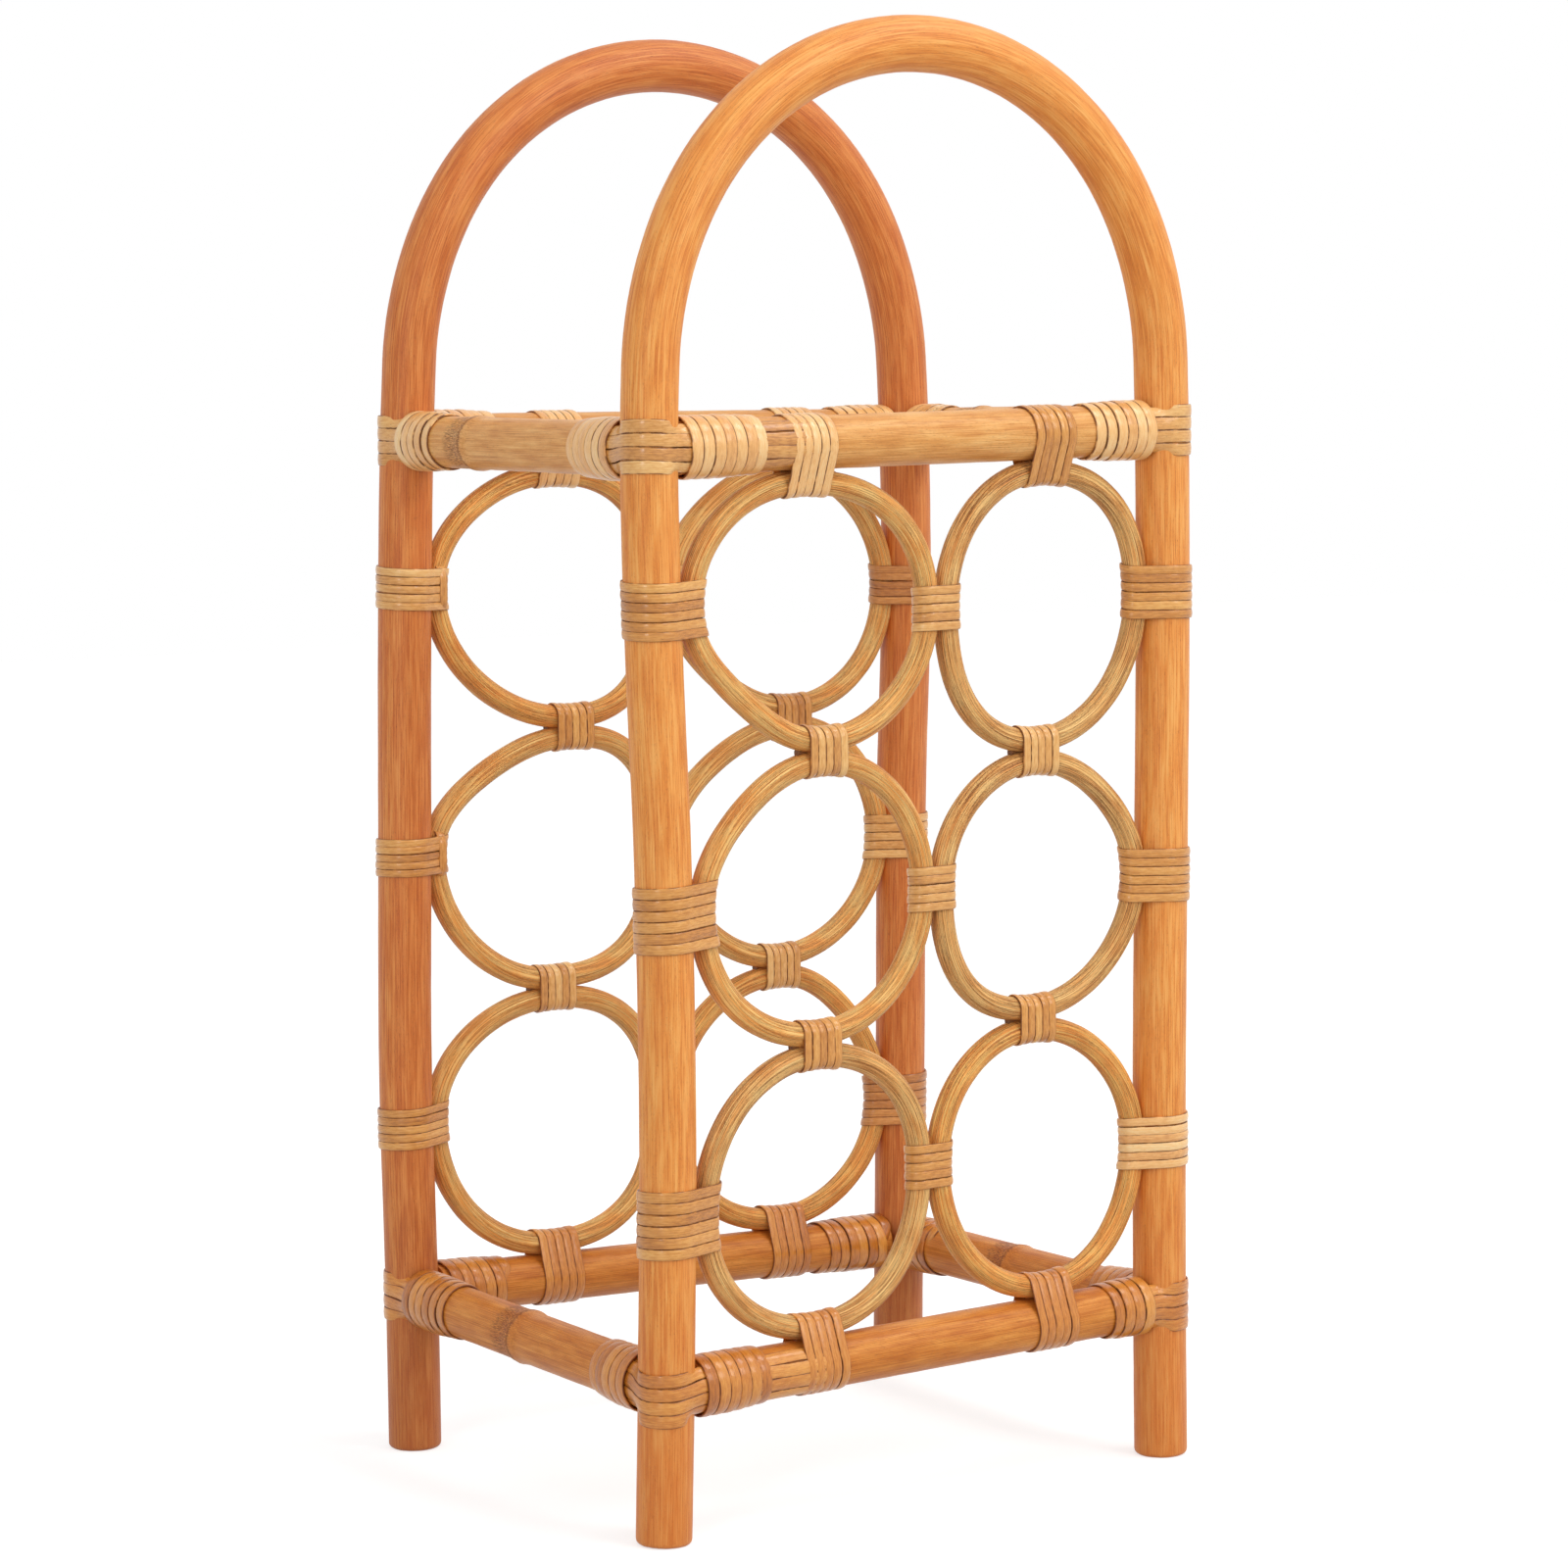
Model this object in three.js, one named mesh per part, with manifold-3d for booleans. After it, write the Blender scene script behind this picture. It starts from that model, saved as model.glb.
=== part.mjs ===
// A rattan rack that holds six bottles lying down. Two arch poles are joined by eight rails, six rings
// hang between the rails of each arch, and every joint is bound with flat strips of cane.
// Millimetres, +Z up. The origin is on the floor, midway between the four feet. The front is -Y.

import * as THREE from 'three';
import { mergeVertices } from 'three/addons/utils/BufferGeometryUtils.js';
import Module from 'manifold-3d';

// Driving dimensions of the poles and rings
const poleDiameter = 21;
const railDiameter = 20;
const ringCaneDiameter = 9.4;
const ringBore = 87.2; // clear inside of a ring, for a bottle of 75 to 80
const rackDepth = 180; // between the axes of the front and back arches
const bottomRailHeight = 60; // floor to the axis of the bottom rails
const legAboveRail = 28; // axis of the top rails to the start of the bend
const ringSideGap = 1.1; // from a ring to the ring or leg beside it
const ringRowGap = 1.7; // from a ring to the ring or rail above or below it
const seatGap = 0.3; // air between pieces that are bound together
const footChamfer = 1.5;
const nodeSwell = 0.5; // how far a grown node stands out of a side rail
const nodeLength = 7;
const topNodeFromBack = 59; // axis of the back arch to the node on a top side rail
const bottomNodeFromBack = 87;

// Driving dimensions of the flat cane strip
const caneThickness = 1;
const jointCaneWidth = 3.9; // strip round two pieces that lie side by side
const cornerCaneWidth = 4.8; // strip round the end of a rail
const caneGap = 0.55; // between one turn and the next
const strapWidth = 4.2; // strips that pass round the outside of a leg
const strapThickness = 0.7;
const strapGap = 0.5;
const strapLift = 0.1; // how far a strap is lifted off the rail where it enters a wrap
const tailShare = 0.8; // how much of the way into a ring's cane a tucked tail runs

// Turns. The half turn gives the outward face of the rack one strip more than the inward face.
const frontLegTurns = 4.5;
const jointTurns = 3.5;
const panelRailTurns = 5.5; // wraps on the ends of the front and back rails
const sideRailTurns = 3.5;
const strapCount = 4;

// Facets of the round pieces
const poleSides = 14;
const archSteps = 24;
const ringSides = 8;
const ringSteps = 24;
const wrapSides = 6;

// Worked out from the driving dimensions
const poleRadius = poleDiameter / 2;
const railRadius = railDiameter / 2;
const ringCaneRadius = ringCaneDiameter / 2;
const ringInnerRadius = ringBore / 2;
const ringRadius = ringInnerRadius + ringCaneRadius;
const ringOuterRadius = ringRadius + ringCaneRadius;
const ringPlace = ringSideGap / 2 + ringOuterRadius;
const legPlace = ringPlace + ringOuterRadius + ringSideGap + poleRadius;
const archPlace = rackDepth / 2;
const railInset = poleRadius + seatGap;
const rowPitch = 2 * ringOuterRadius + ringRowGap;
const bottomRow = bottomRailHeight + railRadius + ringRowGap + ringOuterRadius;
const rows = { bottom: bottomRow, middle: bottomRow + rowPitch, top: bottomRow + 2 * rowPitch };
const topRailHeight = rows.top + ringOuterRadius + ringRowGap + railRadius;
const railHeights = { bottom: bottomRailHeight, top: topRailHeight };
const springHeight = topRailHeight + legAboveRail;
const sides = { left: -1, right: 1 };

const wasm = await Module();
wasm.setup();

const rack = new THREE.Group();
const finishes = {
  pole: { color: 0xd98f50, roughness: 0.42 },
  rail: { color: 0xd29a5e, roughness: 0.42 },
  ring: { color: 0xcf9f62, roughness: 0.62 },
  cane: { color: 0xd9ab70, roughness: 0.38 },
};

function addPiece(parent, name, geometry, finish) {
  const material = new THREE.MeshStandardMaterial({ ...finishes[finish], metalness: 0 });
  const mesh = new THREE.Mesh(geometry, material);
  mesh.name = name;
  parent.add(mesh);
  return mesh;
}

// Solids for cutting and joining
const weldDistance = 1e-4;

function toSolid(geometry) {
  const bare = geometry.clone();
  bare.deleteAttribute('normal');
  bare.deleteAttribute('uv');
  const merged = mergeVertices(bare, weldDistance);
  return new wasm.Manifold(new wasm.Mesh({
    numProp: 3,
    vertProperties: new Float32Array(merged.attributes.position.array),
    triVerts: new Uint32Array(merged.index.array),
  }));
}

function toGeometry(solid) {
  const mesh = solid.getMesh();
  const geometry = new THREE.BufferGeometry();
  geometry.setAttribute('position', new THREE.BufferAttribute(mesh.vertProperties.slice(), 3));
  geometry.setIndex(new THREE.BufferAttribute(mesh.triVerts.slice(), 1));
  geometry.computeVertexNormals();
  return geometry;
}

// Arch poles: one leg, a half circle and the other leg, with the steps spent on the bend
class ArchLine extends THREE.Curve {
  getPoint(t, target = new THREE.Vector3()) {
    const step = t * (archSteps + 2);
    if (step <= 1) {
      return target.set(-legPlace, 0, step * springHeight);
    }
    if (step >= archSteps + 1) {
      return target.set(legPlace, 0, (archSteps + 2 - step) * springHeight);
    }
    const angle = Math.PI * (1 - (step - 1) / archSteps);
    return target.set(
      legPlace * Math.cos(angle), 0, springHeight + legPlace * Math.sin(angle),
    );
  }

  getUtoTmapping(u) {
    return u;
  }
}

// The cutter that rounds off a foot is a ring, and it runs past the foot on all sides
const cutterMargin = 1;

function archPole() {
  const section = new THREE.Shape();
  section.absarc(0, 0, poleRadius, 0, 2 * Math.PI);
  let pole = toSolid(new THREE.ExtrudeGeometry(section, {
    extrudePath: new ArchLine(),
    steps: archSteps + 2,
    curveSegments: poleSides / 2,
  }));
  const inside = poleRadius - footChamfer - cutterMargin;
  const outside = poleRadius + cutterMargin;
  const cutter = new THREE.LatheGeometry([
    new THREE.Vector2(inside, -cutterMargin),
    new THREE.Vector2(outside, -cutterMargin),
    new THREE.Vector2(outside, footChamfer + cutterMargin),
    new THREE.Vector2(inside, -cutterMargin),
  ], poleSides);
  cutter.rotateX(Math.PI / 2);
  for (const side of Object.values(sides)) {
    pole = pole.subtract(toSolid(cutter.clone().translate(side * legPlace, 0, 0)));
  }
  return toGeometry(pole);
}

// Rails, cut square and butted between the legs. A side rail keeps one grown node.
function railShape(length, nodePlace) {
  const profile = [new THREE.Vector2(0, 0), new THREE.Vector2(railRadius, 0)];
  if (nodePlace !== undefined) {
    profile.push(
      new THREE.Vector2(railRadius, nodePlace - nodeLength / 2),
      new THREE.Vector2(railRadius + nodeSwell, nodePlace),
      new THREE.Vector2(railRadius, nodePlace + nodeLength / 2),
    );
  }
  profile.push(new THREE.Vector2(railRadius, length), new THREE.Vector2(0, length));
  return new THREE.LatheGeometry(profile, poleSides);
}

// A strip of cane through a list of stations. Each is a section with its corners in the same order,
// clockwise for someone who looks along the strip.
function stripGeometry(stations) {
  const corners = stations[0].length;
  const index = [];
  for (let i = 0; i + 1 < stations.length; i += 1) {
    for (let k = 0; k < corners; k += 1) {
      const a = i * corners + k;
      const b = i * corners + ((k + 1) % corners);
      index.push(a, b, b + corners, a, b + corners, a + corners);
    }
  }
  const last = (stations.length - 1) * corners;
  for (let k = 1; k + 1 < corners; k += 1) {
    index.push(0, k + 1, k, last, last + k, last + k + 1);
  }
  const points = stations.flat().flatMap((p) => [p.x, p.y, p.z]);
  const geometry = new THREE.BufferGeometry();
  geometry.setAttribute('position', new THREE.Float32BufferAttribute(points, 3));
  geometry.setIndex(index);
  geometry.computeVertexNormals();
  return geometry;
}

// The point where two lines cross, each given by the angle it faces and its distance from the axis
function crossing(angleA, distanceA, angleB, distanceB) {
  const turn = Math.sin(angleB - angleA);
  return new THREE.Vector2(
    (distanceA * Math.sin(angleB) - distanceB * Math.sin(angleA)) / turn,
    (distanceB * Math.cos(angleA) - distanceA * Math.cos(angleB)) / turn,
  );
}

// One unbroken strip wound along z. A turn runs straight from corner to corner of an outline whose
// sides face the given angles, and reach(angle, z) says how far out such a side lies.
function windingStations({ angles, reach, turns, width, start }) {
  const pitch = width + caneGap;
  const stations = [];
  for (let i = 0; i <= turns * angles.length; i += 1) {
    const before = angles[(i + angles.length - 1) % angles.length];
    const after = angles[i % angles.length];
    const z = start + (i * pitch) / angles.length;
    const edge = Math.abs(z) + width / 2;
    const nearBefore = reach(before, edge);
    const nearAfter = reach(after, edge);
    const inner = crossing(before, nearBefore, after, nearAfter);
    const outer = crossing(before, nearBefore + caneThickness, after, nearAfter + caneThickness);
    stations.push([
      new THREE.Vector3(inner.x, inner.y, z + width / 2),
      new THREE.Vector3(outer.x, outer.y, z),
      new THREE.Vector3(inner.x, inner.y, z - width / 2),
    ]);
  }
  return stations;
}

// Least distance from a winding to its own next turn, measured on its corner points
let leastSelfGap = Infinity;
function measureSelfGap(stations, perTurn) {
  stations.forEach((section, i) => {
    for (const p of section) {
      for (const q of stations.slice(i + perTurn - 1).flat()) {
        leastSelfGap = Math.min(leastSelfGap, p.distanceTo(q));
      }
    }
  });
}

// Joint lashings go round two bars that lie side by side, meeting across a gap at x = 0. A straight
// bar keeps its distance along z, and a ring bends away from it.
const straightBar = (radius, gap) => ({ radius, place: () => radius + gap / 2 });
const ringBar = (gap) => ({
  radius: ringCaneRadius,
  place: (z) => gap / 2 + ringRadius - Math.sqrt(ringInnerRadius ** 2 - z ** 2),
});

// Angles that the sides of one turn face: two along the tangents of both bars, the rest round them.
// The turn starts with the sides that face -y.
function turnAngles(near, far) {
  const tangent = Math.acos((near.radius - far.radius) / (near.place(0) + far.place(0)));
  const farSides = near.radius > far.radius ? 1 : 2;
  const nearSides = wrapSides - 2 - farSides;
  const angles = [];
  for (let k = 0; k <= farSides; k += 1) {
    angles.push(tangent * ((2 * k) / (farSides + 1) - 1));
  }
  for (let k = 0; k <= nearSides; k += 1) {
    angles.push(tangent + (2 * (Math.PI - tangent) * k) / (nearSides + 1));
  }
  return [angles.pop(), ...angles];
}

function jointStations(near, far, turns) {
  const angles = turnAngles(near, far);
  const reach = (angle, z) => seatGap + Math.max(
    near.radius - near.place(z) * Math.cos(angle),
    far.radius + far.place(z) * Math.cos(angle),
  );
  const start = (-turns * (jointCaneWidth + caneGap)) / 2;
  const stations = windingStations({ angles, reach, turns, width: jointCaneWidth, start });
  measureSelfGap(stations, angles.length);
  return stations;
}

const legBar = straightBar(poleRadius, ringSideGap);
const railBar = straightBar(railRadius, ringRowGap);
const sideRing = ringBar(ringSideGap);
const rowRing = ringBar(ringRowGap);

// Rings, bent to a hoop and standing in the plane of their arch. In each row one ring also carries the
// lashing that ties it to the other, with the tail of the strip tucked into the ring's cane.
const ring = new THREE.TorusGeometry(ringRadius, ringCaneRadius, ringSides, ringSteps);
ring.rotateX(Math.PI / 2);

function ringWithPairLashing() {
  const stations = jointStations(sideRing, sideRing, jointTurns);
  const last = stations.at(-1);
  const { z } = last[1];
  const offMiddle = ringCaneRadius / 2; // the strip ends on y = 0, and would be flat without it
  const inCane = new THREE.Vector3(sideRing.place(z), offMiddle, z);
  stations.push(last.map((p) => p.clone().lerp(inCane, tailShare)));
  const lashing = stripGeometry(stations).translate(-ringPlace, 0, 0);
  return toGeometry(toSolid(ring).add(toSolid(lashing)));
}

// Shapes that both panels share. A lashing between two rows, or between a row and a rail, is turned
// to stand upright where it is placed.
const archShape = archPole();
const panelRail = railShape(2 * (legPlace - railInset)).rotateZ(-Math.PI / 2);
const ringShapes = { left: ring, right: ringWithPairLashing() };
const legLashings = {
  front: stripGeometry(jointStations(legBar, sideRing, frontLegTurns)),
  back: stripGeometry(jointStations(legBar, sideRing, jointTurns)),
};
const rowLashing = stripGeometry(jointStations(rowRing, rowRing, jointTurns));
const railLashing = stripGeometry(jointStations(railBar, rowRing, jointTurns));
const halfStep = ringOuterRadius + ringRowGap / 2;
const upwards = -Math.PI / 2;
const stackJoints = {
  rail_bottom: { height: rows.bottom - halfStep, lashing: railLashing, turn: upwards },
  rings_lower: { height: rows.bottom + halfStep, lashing: rowLashing, turn: upwards },
  rings_upper: { height: rows.middle + halfStep, lashing: rowLashing, turn: upwards },
  rail_top: { height: rows.top + halfStep, lashing: railLashing, turn: -upwards },
};

// A panel is one arch with its rails, rings and lashings, facing -y. The back panel is the same one
// turned half round, so what is on its left stands on the right of the rack.
function addPanel(panel, sideNames) {
  const frame = new THREE.Group();
  addPiece(frame, `arch_pole_${panel}`, archShape, 'pole');
  for (const [level, height] of Object.entries(railHeights)) {
    const rail = addPiece(frame, `rail_${level}_${panel}`, panelRail, 'rail');
    rail.position.set(railInset - legPlace, 0, height);
  }
  for (const [side, facing] of Object.entries(sides)) {
    const place = `${panel}_${sideNames[side]}`;
    for (const [row, height] of Object.entries(rows)) {
      const hoop = addPiece(frame, `bottle_ring_${place}_${row}`, ringShapes[side], 'ring');
      hoop.position.set(facing * ringPlace, 0, height);
      const joint = facing * (legPlace - poleRadius - ringSideGap / 2);
      const lashing = addPiece(frame, `lashing_leg_${place}_${row}`, legLashings[panel], 'cane');
      lashing.position.set(joint, 0, height);
      lashing.rotation.y = side === 'left' ? 0 : Math.PI;
    }
    for (const [joint, { height, lashing, turn }] of Object.entries(stackJoints)) {
      const wrap = addPiece(frame, `lashing_${joint}_${place}`, lashing, 'cane');
      wrap.position.set(facing * ringPlace, 0, height);
      wrap.rotation.y = turn;
    }
  }
  rack.add(frame);
  return frame;
}

addPanel('front', { left: 'left', right: 'right' }).position.y = -archPlace;
const backPanel = addPanel('back', { left: 'right', right: 'left' });
backPanel.position.y = archPlace;
backPanel.rotation.z = Math.PI;

const nodesFromBack = { bottom: bottomNodeFromBack, top: topNodeFromBack };
for (const [level, height] of Object.entries(railHeights)) {
  const nodePlace = rackDepth - nodesFromBack[level] - railInset;
  const sideRail = railShape(rackDepth - 2 * railInset, nodePlace);
  for (const [side, facing] of Object.entries(sides)) {
    const rail = addPiece(rack, `rail_${level}_${side}`, sideRail, 'rail');
    rail.position.set(facing * legPlace, railInset - archPlace, height);
  }
}

// Corner lashings. Two rails leave the leg along +x and +y. A wrap binds the end of each rail, and
// the straps pass from wrap to wrap round the outside of the leg. A wrap is laid out with x pointing
// out of the rack, y up, and z along the rail from the axis of the leg.
const wrapReach = railRadius + seatGap;
const wrapPitch = cornerCaneWidth + caneGap;
const wrapStart = wrapReach + caneThickness + caneGap + cornerCaneWidth / 2;
const wrapTurn = (2 * Math.PI) / wrapSides;
const outwardSideMiddle = 1.5; // counted in sides from the start of the strip
const onFirstRail = (p) => new THREE.Vector3(p.z, -p.x, p.y);
const onSecondRail = (p) => new THREE.Vector3(-p.x, p.z, p.y);

function wrapStations(turns) {
  const angles = [];
  for (let k = 0; k < wrapSides; k += 1) {
    angles.push((k - 1) * wrapTurn);
  }
  const reach = () => wrapReach;
  const stations = windingStations({ angles, reach, turns, width: cornerCaneWidth, start: wrapStart });
  measureSelfGap(stations, wrapSides);
  return stations;
}

// A point on the outline of a wrap, a given way up from the middle of its outward side
function onWrapOutline(way) {
  const reach = wrapReach + strapLift;
  const half = reach * Math.tan(wrapTurn / 2);
  if (Math.abs(way) <= half) {
    return new THREE.Vector2(reach, way);
  }
  const past = Math.abs(way) - half;
  return new THREE.Vector2(
    reach - past * Math.sin(wrapTurn), Math.sign(way) * (half + past * Math.cos(wrapTurn)),
  );
}

// Section of a strap at a wrap, either run in under its first turn or stopped just short of it
function strapEnd(way, runsIn) {
  const low = onWrapOutline(way - strapWidth / 2);
  const high = onWrapOutline(way + strapWidth / 2);
  const outward = new THREE.Vector2(high.y - low.y, low.x - high.x).setLength(strapThickness);
  const top = low.clone().lerp(high, 0.5).add(outward);
  const girth = 2 * wrapSides * wrapReach * Math.tan(wrapTurn / 2);
  const middle = wrapStart + wrapPitch * (outwardSideMiddle / wrapSides + way / girth);
  const z = runsIn ? middle : middle - cornerCaneWidth / 2 - seatGap;
  return [low, top, high].map((p) => new THREE.Vector3(p.x, p.y, z));
}

// A strap bends three times on its way round the leg, the middle one right at the corner of the rack
const cornerAngle = Math.PI / 4;
const strapBend = Math.PI / 3;

function strapStations(way, bothEnds) {
  const seat = poleRadius + seatGap;
  const round = [-1, 0, 1].map((k) => {
    const angle = cornerAngle + k * strapBend;
    const section = [
      [seat, way - strapWidth / 2],
      [seat + caneThickness, way],
      [seat, way + strapWidth / 2],
    ];
    return section.map(([distance, height]) => {
      const out = distance / Math.cos(strapBend / 2);
      return new THREE.Vector3(-out * Math.sin(angle), -out * Math.cos(angle), height);
    });
  });
  const first = strapEnd(way, true).map(onFirstRail);
  const second = strapEnd(way, bothEnds).map(onSecondRail);
  return [first, ...round, second];
}

function cornerLashing(firstTurns, secondTurns) {
  const strips = [
    wrapStations(firstTurns).map((section) => section.map(onFirstRail).reverse()),
    wrapStations(secondTurns).map((section) => section.map(onSecondRail)),
  ];
  for (let k = 0; k < strapCount; k += 1) {
    const way = (k - (strapCount - 1) / 2) * (strapWidth + strapGap);
    strips.push(strapStations(way, k === 0));
  }
  const solids = strips.map((stations) => toSolid(stripGeometry(stations)));
  return toGeometry(solids.reduce((whole, strip) => whole.add(strip)));
}

const panelRailFirst = cornerLashing(panelRailTurns, sideRailTurns);
const sideRailFirst = cornerLashing(sideRailTurns, panelRailTurns);
const corners = [
  { place: 'front_left', x: -legPlace, y: -archPlace, shape: panelRailFirst },
  { place: 'front_right', x: legPlace, y: -archPlace, shape: sideRailFirst },
  { place: 'back_right', x: legPlace, y: archPlace, shape: panelRailFirst },
  { place: 'back_left', x: -legPlace, y: archPlace, shape: sideRailFirst },
];
for (const [level, height] of Object.entries(railHeights)) {
  corners.forEach(({ place, x, y, shape }, quarter) => {
    const lashing = addPiece(rack, `corner_lashing_${place}_${level}`, shape, 'cane');
    lashing.position.set(x, y, height);
    lashing.rotation.z = (quarter * Math.PI) / 2;
  });
}

console.log(`Least gap of a winding to itself: ${leastSelfGap.toFixed(2)} mm`);

export default rack;
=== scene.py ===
import math

import bpy
from mathutils import Matrix, Quaternion, Vector


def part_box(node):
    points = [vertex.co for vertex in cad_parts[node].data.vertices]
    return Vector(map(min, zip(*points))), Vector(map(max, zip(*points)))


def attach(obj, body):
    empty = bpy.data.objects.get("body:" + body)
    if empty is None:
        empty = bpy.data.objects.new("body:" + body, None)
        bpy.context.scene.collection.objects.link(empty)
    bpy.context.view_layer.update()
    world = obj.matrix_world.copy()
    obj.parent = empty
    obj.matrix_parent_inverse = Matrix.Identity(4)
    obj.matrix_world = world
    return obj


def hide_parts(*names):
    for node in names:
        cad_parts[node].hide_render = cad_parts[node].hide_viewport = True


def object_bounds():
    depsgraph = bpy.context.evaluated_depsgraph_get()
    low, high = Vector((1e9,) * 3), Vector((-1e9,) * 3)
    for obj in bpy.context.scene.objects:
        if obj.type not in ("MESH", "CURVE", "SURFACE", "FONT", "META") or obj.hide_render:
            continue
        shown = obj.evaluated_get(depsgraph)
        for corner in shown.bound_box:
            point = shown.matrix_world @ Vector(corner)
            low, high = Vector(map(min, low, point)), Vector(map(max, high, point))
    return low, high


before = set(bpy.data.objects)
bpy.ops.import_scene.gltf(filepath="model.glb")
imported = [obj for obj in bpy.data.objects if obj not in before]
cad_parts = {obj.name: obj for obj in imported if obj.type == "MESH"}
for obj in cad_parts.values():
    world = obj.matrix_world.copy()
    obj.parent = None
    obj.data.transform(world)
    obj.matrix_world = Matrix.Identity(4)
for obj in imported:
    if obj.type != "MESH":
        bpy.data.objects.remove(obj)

cad_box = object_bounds()

# Camera: a long lens to the left of the rack and a little above its middle. Its place, its angles and
# its lens come from fitting the legs, the rails and the arches to the photograph.
photo_width = 1600
focal_length = 4680
sensor_width = 36
camera_place = Vector((-1.0175, -1.4798, 0.4518))
camera_turn = math.radians(-34.475)
camera_rise = math.radians(5.877)
camera_roll = math.radians(-0.161)

lens = bpy.data.cameras.new("photograph")
lens.sensor_width = sensor_width
lens.lens = focal_length / photo_width * sensor_width
camera = bpy.data.objects.new("photograph", lens)
backwards = Vector((
    math.sin(camera_turn) * math.cos(camera_rise),
    -math.cos(camera_turn) * math.cos(camera_rise),
    math.sin(camera_rise),
))
camera.rotation_mode = "QUATERNION"
camera.location = camera_place
camera.rotation_quaternion = backwards.to_track_quat("Z", "Y") @ Quaternion((0, 0, 1), camera_roll)
bpy.context.scene.collection.objects.link(camera)
bpy.context.scene.camera = camera
bpy.context.scene.view_settings.view_transform = "Standard"


# Studio: a pale floor that keeps the rack's soft shadow, a white room and three soft lamps. What the
# camera sees of the floor and the room is white, and the light on the rack stays plain.
floor_size = 8.0
floor_shade = 0.55
floor_glow = 0.64
room_light = 0.68
lamps = {
    "lamp_front": {"place": (0.9, -2.6, 1.9), "size": 1.2, "watts": 28.0},
    "lamp_top": {"place": (1.0, -0.7, 2.2), "size": 0.7, "watts": 12.0},
    "lamp_left": {"place": (-2.1, -1.4, 0.9), "size": 0.5, "watts": 8.0},
}
rack_middle = Vector((0, 0, (cad_box[0].z + cad_box[1].z) / 2))


def link(tree, value, socket):
    """Sets a socket from a term, from another socket or from a plain value."""
    source = getattr(value, "socket", value)
    if isinstance(source, bpy.types.NodeSocket):
        tree.links.new(source, socket)
    else:
        socket.default_value = source


def add_node(tree, kind, inputs=None, **settings):
    """A node with its settings, and with its inputs given by name or by number."""
    node = tree.nodes.new(kind)
    for setting, value in settings.items():
        setattr(node, setting, value)
    for name, value in (inputs or {}).items():
        link(tree, value, node.inputs[name])
    return node


def made(tree, kind, inputs=None, **settings):
    """What a new node gives out first."""
    return add_node(tree, kind, inputs, **settings).outputs[0]


def seen_directly(tree):
    """1 for a ray from the camera, a mirror or a glass, and 0 for the light that falls on things."""
    path = add_node(tree, "ShaderNodeLightPath").outputs
    mirrored = made(tree, "ShaderNodeMath", {
        0: path["Is Glossy Ray"], 1: path["Is Transmission Ray"],
    }, operation="MAXIMUM")
    return made(tree, "ShaderNodeMath", {0: path["Is Camera Ray"], 1: mirrored}, operation="MAXIMUM")


white = (1, 1, 1, 1)
room = bpy.data.worlds.new("white_room")
room.use_nodes = True
air = room.node_tree
air.nodes.clear()
air_strength = made(air, "ShaderNodeMix", {"Factor": seen_directly(air), 2: room_light, 3: 1.0})
air_light = made(air, "ShaderNodeBackground", {"Color": white, "Strength": air_strength})
add_node(air, "ShaderNodeOutputWorld", {"Surface": air_light})
bpy.context.scene.world = room

floor_finish = bpy.data.materials.new("pale_floor")
floor_finish.use_nodes = True
paint = floor_finish.node_tree
paint.nodes.clear()
floor_colour = (floor_shade, floor_shade, floor_shade, 1)
matt = made(paint, "ShaderNodeBsdfDiffuse", {"Color": floor_colour})
glow_strength = made(paint, "ShaderNodeMath", {
    0: seen_directly(paint), 1: floor_glow,
}, operation="MULTIPLY")
glow = made(paint, "ShaderNodeEmission", {"Color": white, "Strength": glow_strength})
both = made(paint, "ShaderNodeAddShader", {0: matt, 1: glow})
add_node(paint, "ShaderNodeOutputMaterial", {"Surface": both})

half_floor = floor_size / 2
floor_mesh = bpy.data.meshes.new("floor")
floor_corners = ((-1, -1), (1, -1), (1, 1), (-1, 1))
floor_mesh.from_pydata(
    [(x * half_floor, y * half_floor, cad_box[0].z) for x, y in floor_corners], [], [(0, 1, 2, 3)],
)
floor_mesh.materials.append(floor_finish)
floor = bpy.data.objects.new("floor", floor_mesh)
bpy.context.scene.collection.objects.link(floor)

for name, lamp in lamps.items():
    light = bpy.data.lights.new(name, "AREA")
    light.size = lamp["size"]
    light.energy = lamp["watts"]
    holder = bpy.data.objects.new(name, light)
    holder.location = lamp["place"]
    holder.rotation_mode = "QUATERNION"
    holder.rotation_quaternion = (holder.location - rack_middle).to_track_quat("Z", "Y")
    bpy.context.scene.collection.objects.link(holder)


# Arch poles: each is one rattan pole about 21 mm thick, bent over steam to a leg, a half circle and a
# leg. The skin is scraped off and lacquered, so the long pores show, and the feet are sanded round.
pole_thickness = 0.021
foot_rounding = 0.002
pole_unevenness = 0.00012
leg_station = 0.008
bend_stations = 72
pole_sides = 48
# No leg is quite straight. These are the heights along an arch, and how far each of its halves has
# bowed to the right there, in millimetres, as the photograph shows them.
bow_heights = (0, 60, 150, 250, 330, 400, 470, 551)
leg_bows = {
    ("front", "left"): (0.0, 1.4, 2.6, 1.2, -2.2, -3.8, -2.0, -2.6),
    ("front", "right"): (-0.2, -1.2, -2.0, -1.8, -1.6, -2.4, -4.2, -2.6),
    ("back", "left"): (-2.0, -2.6, -4.5, -3.6, -2.6, -0.8, 2.2, 1.6),
    ("back", "right"): (1.0, 1.6, 2.4, 3.0, 5.4, 4.4, 1.0, 1.6),
}


def middle_of(node):
    """The middle of a CAD node's box."""
    low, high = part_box(node)
    return (low + high) / 2


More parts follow.
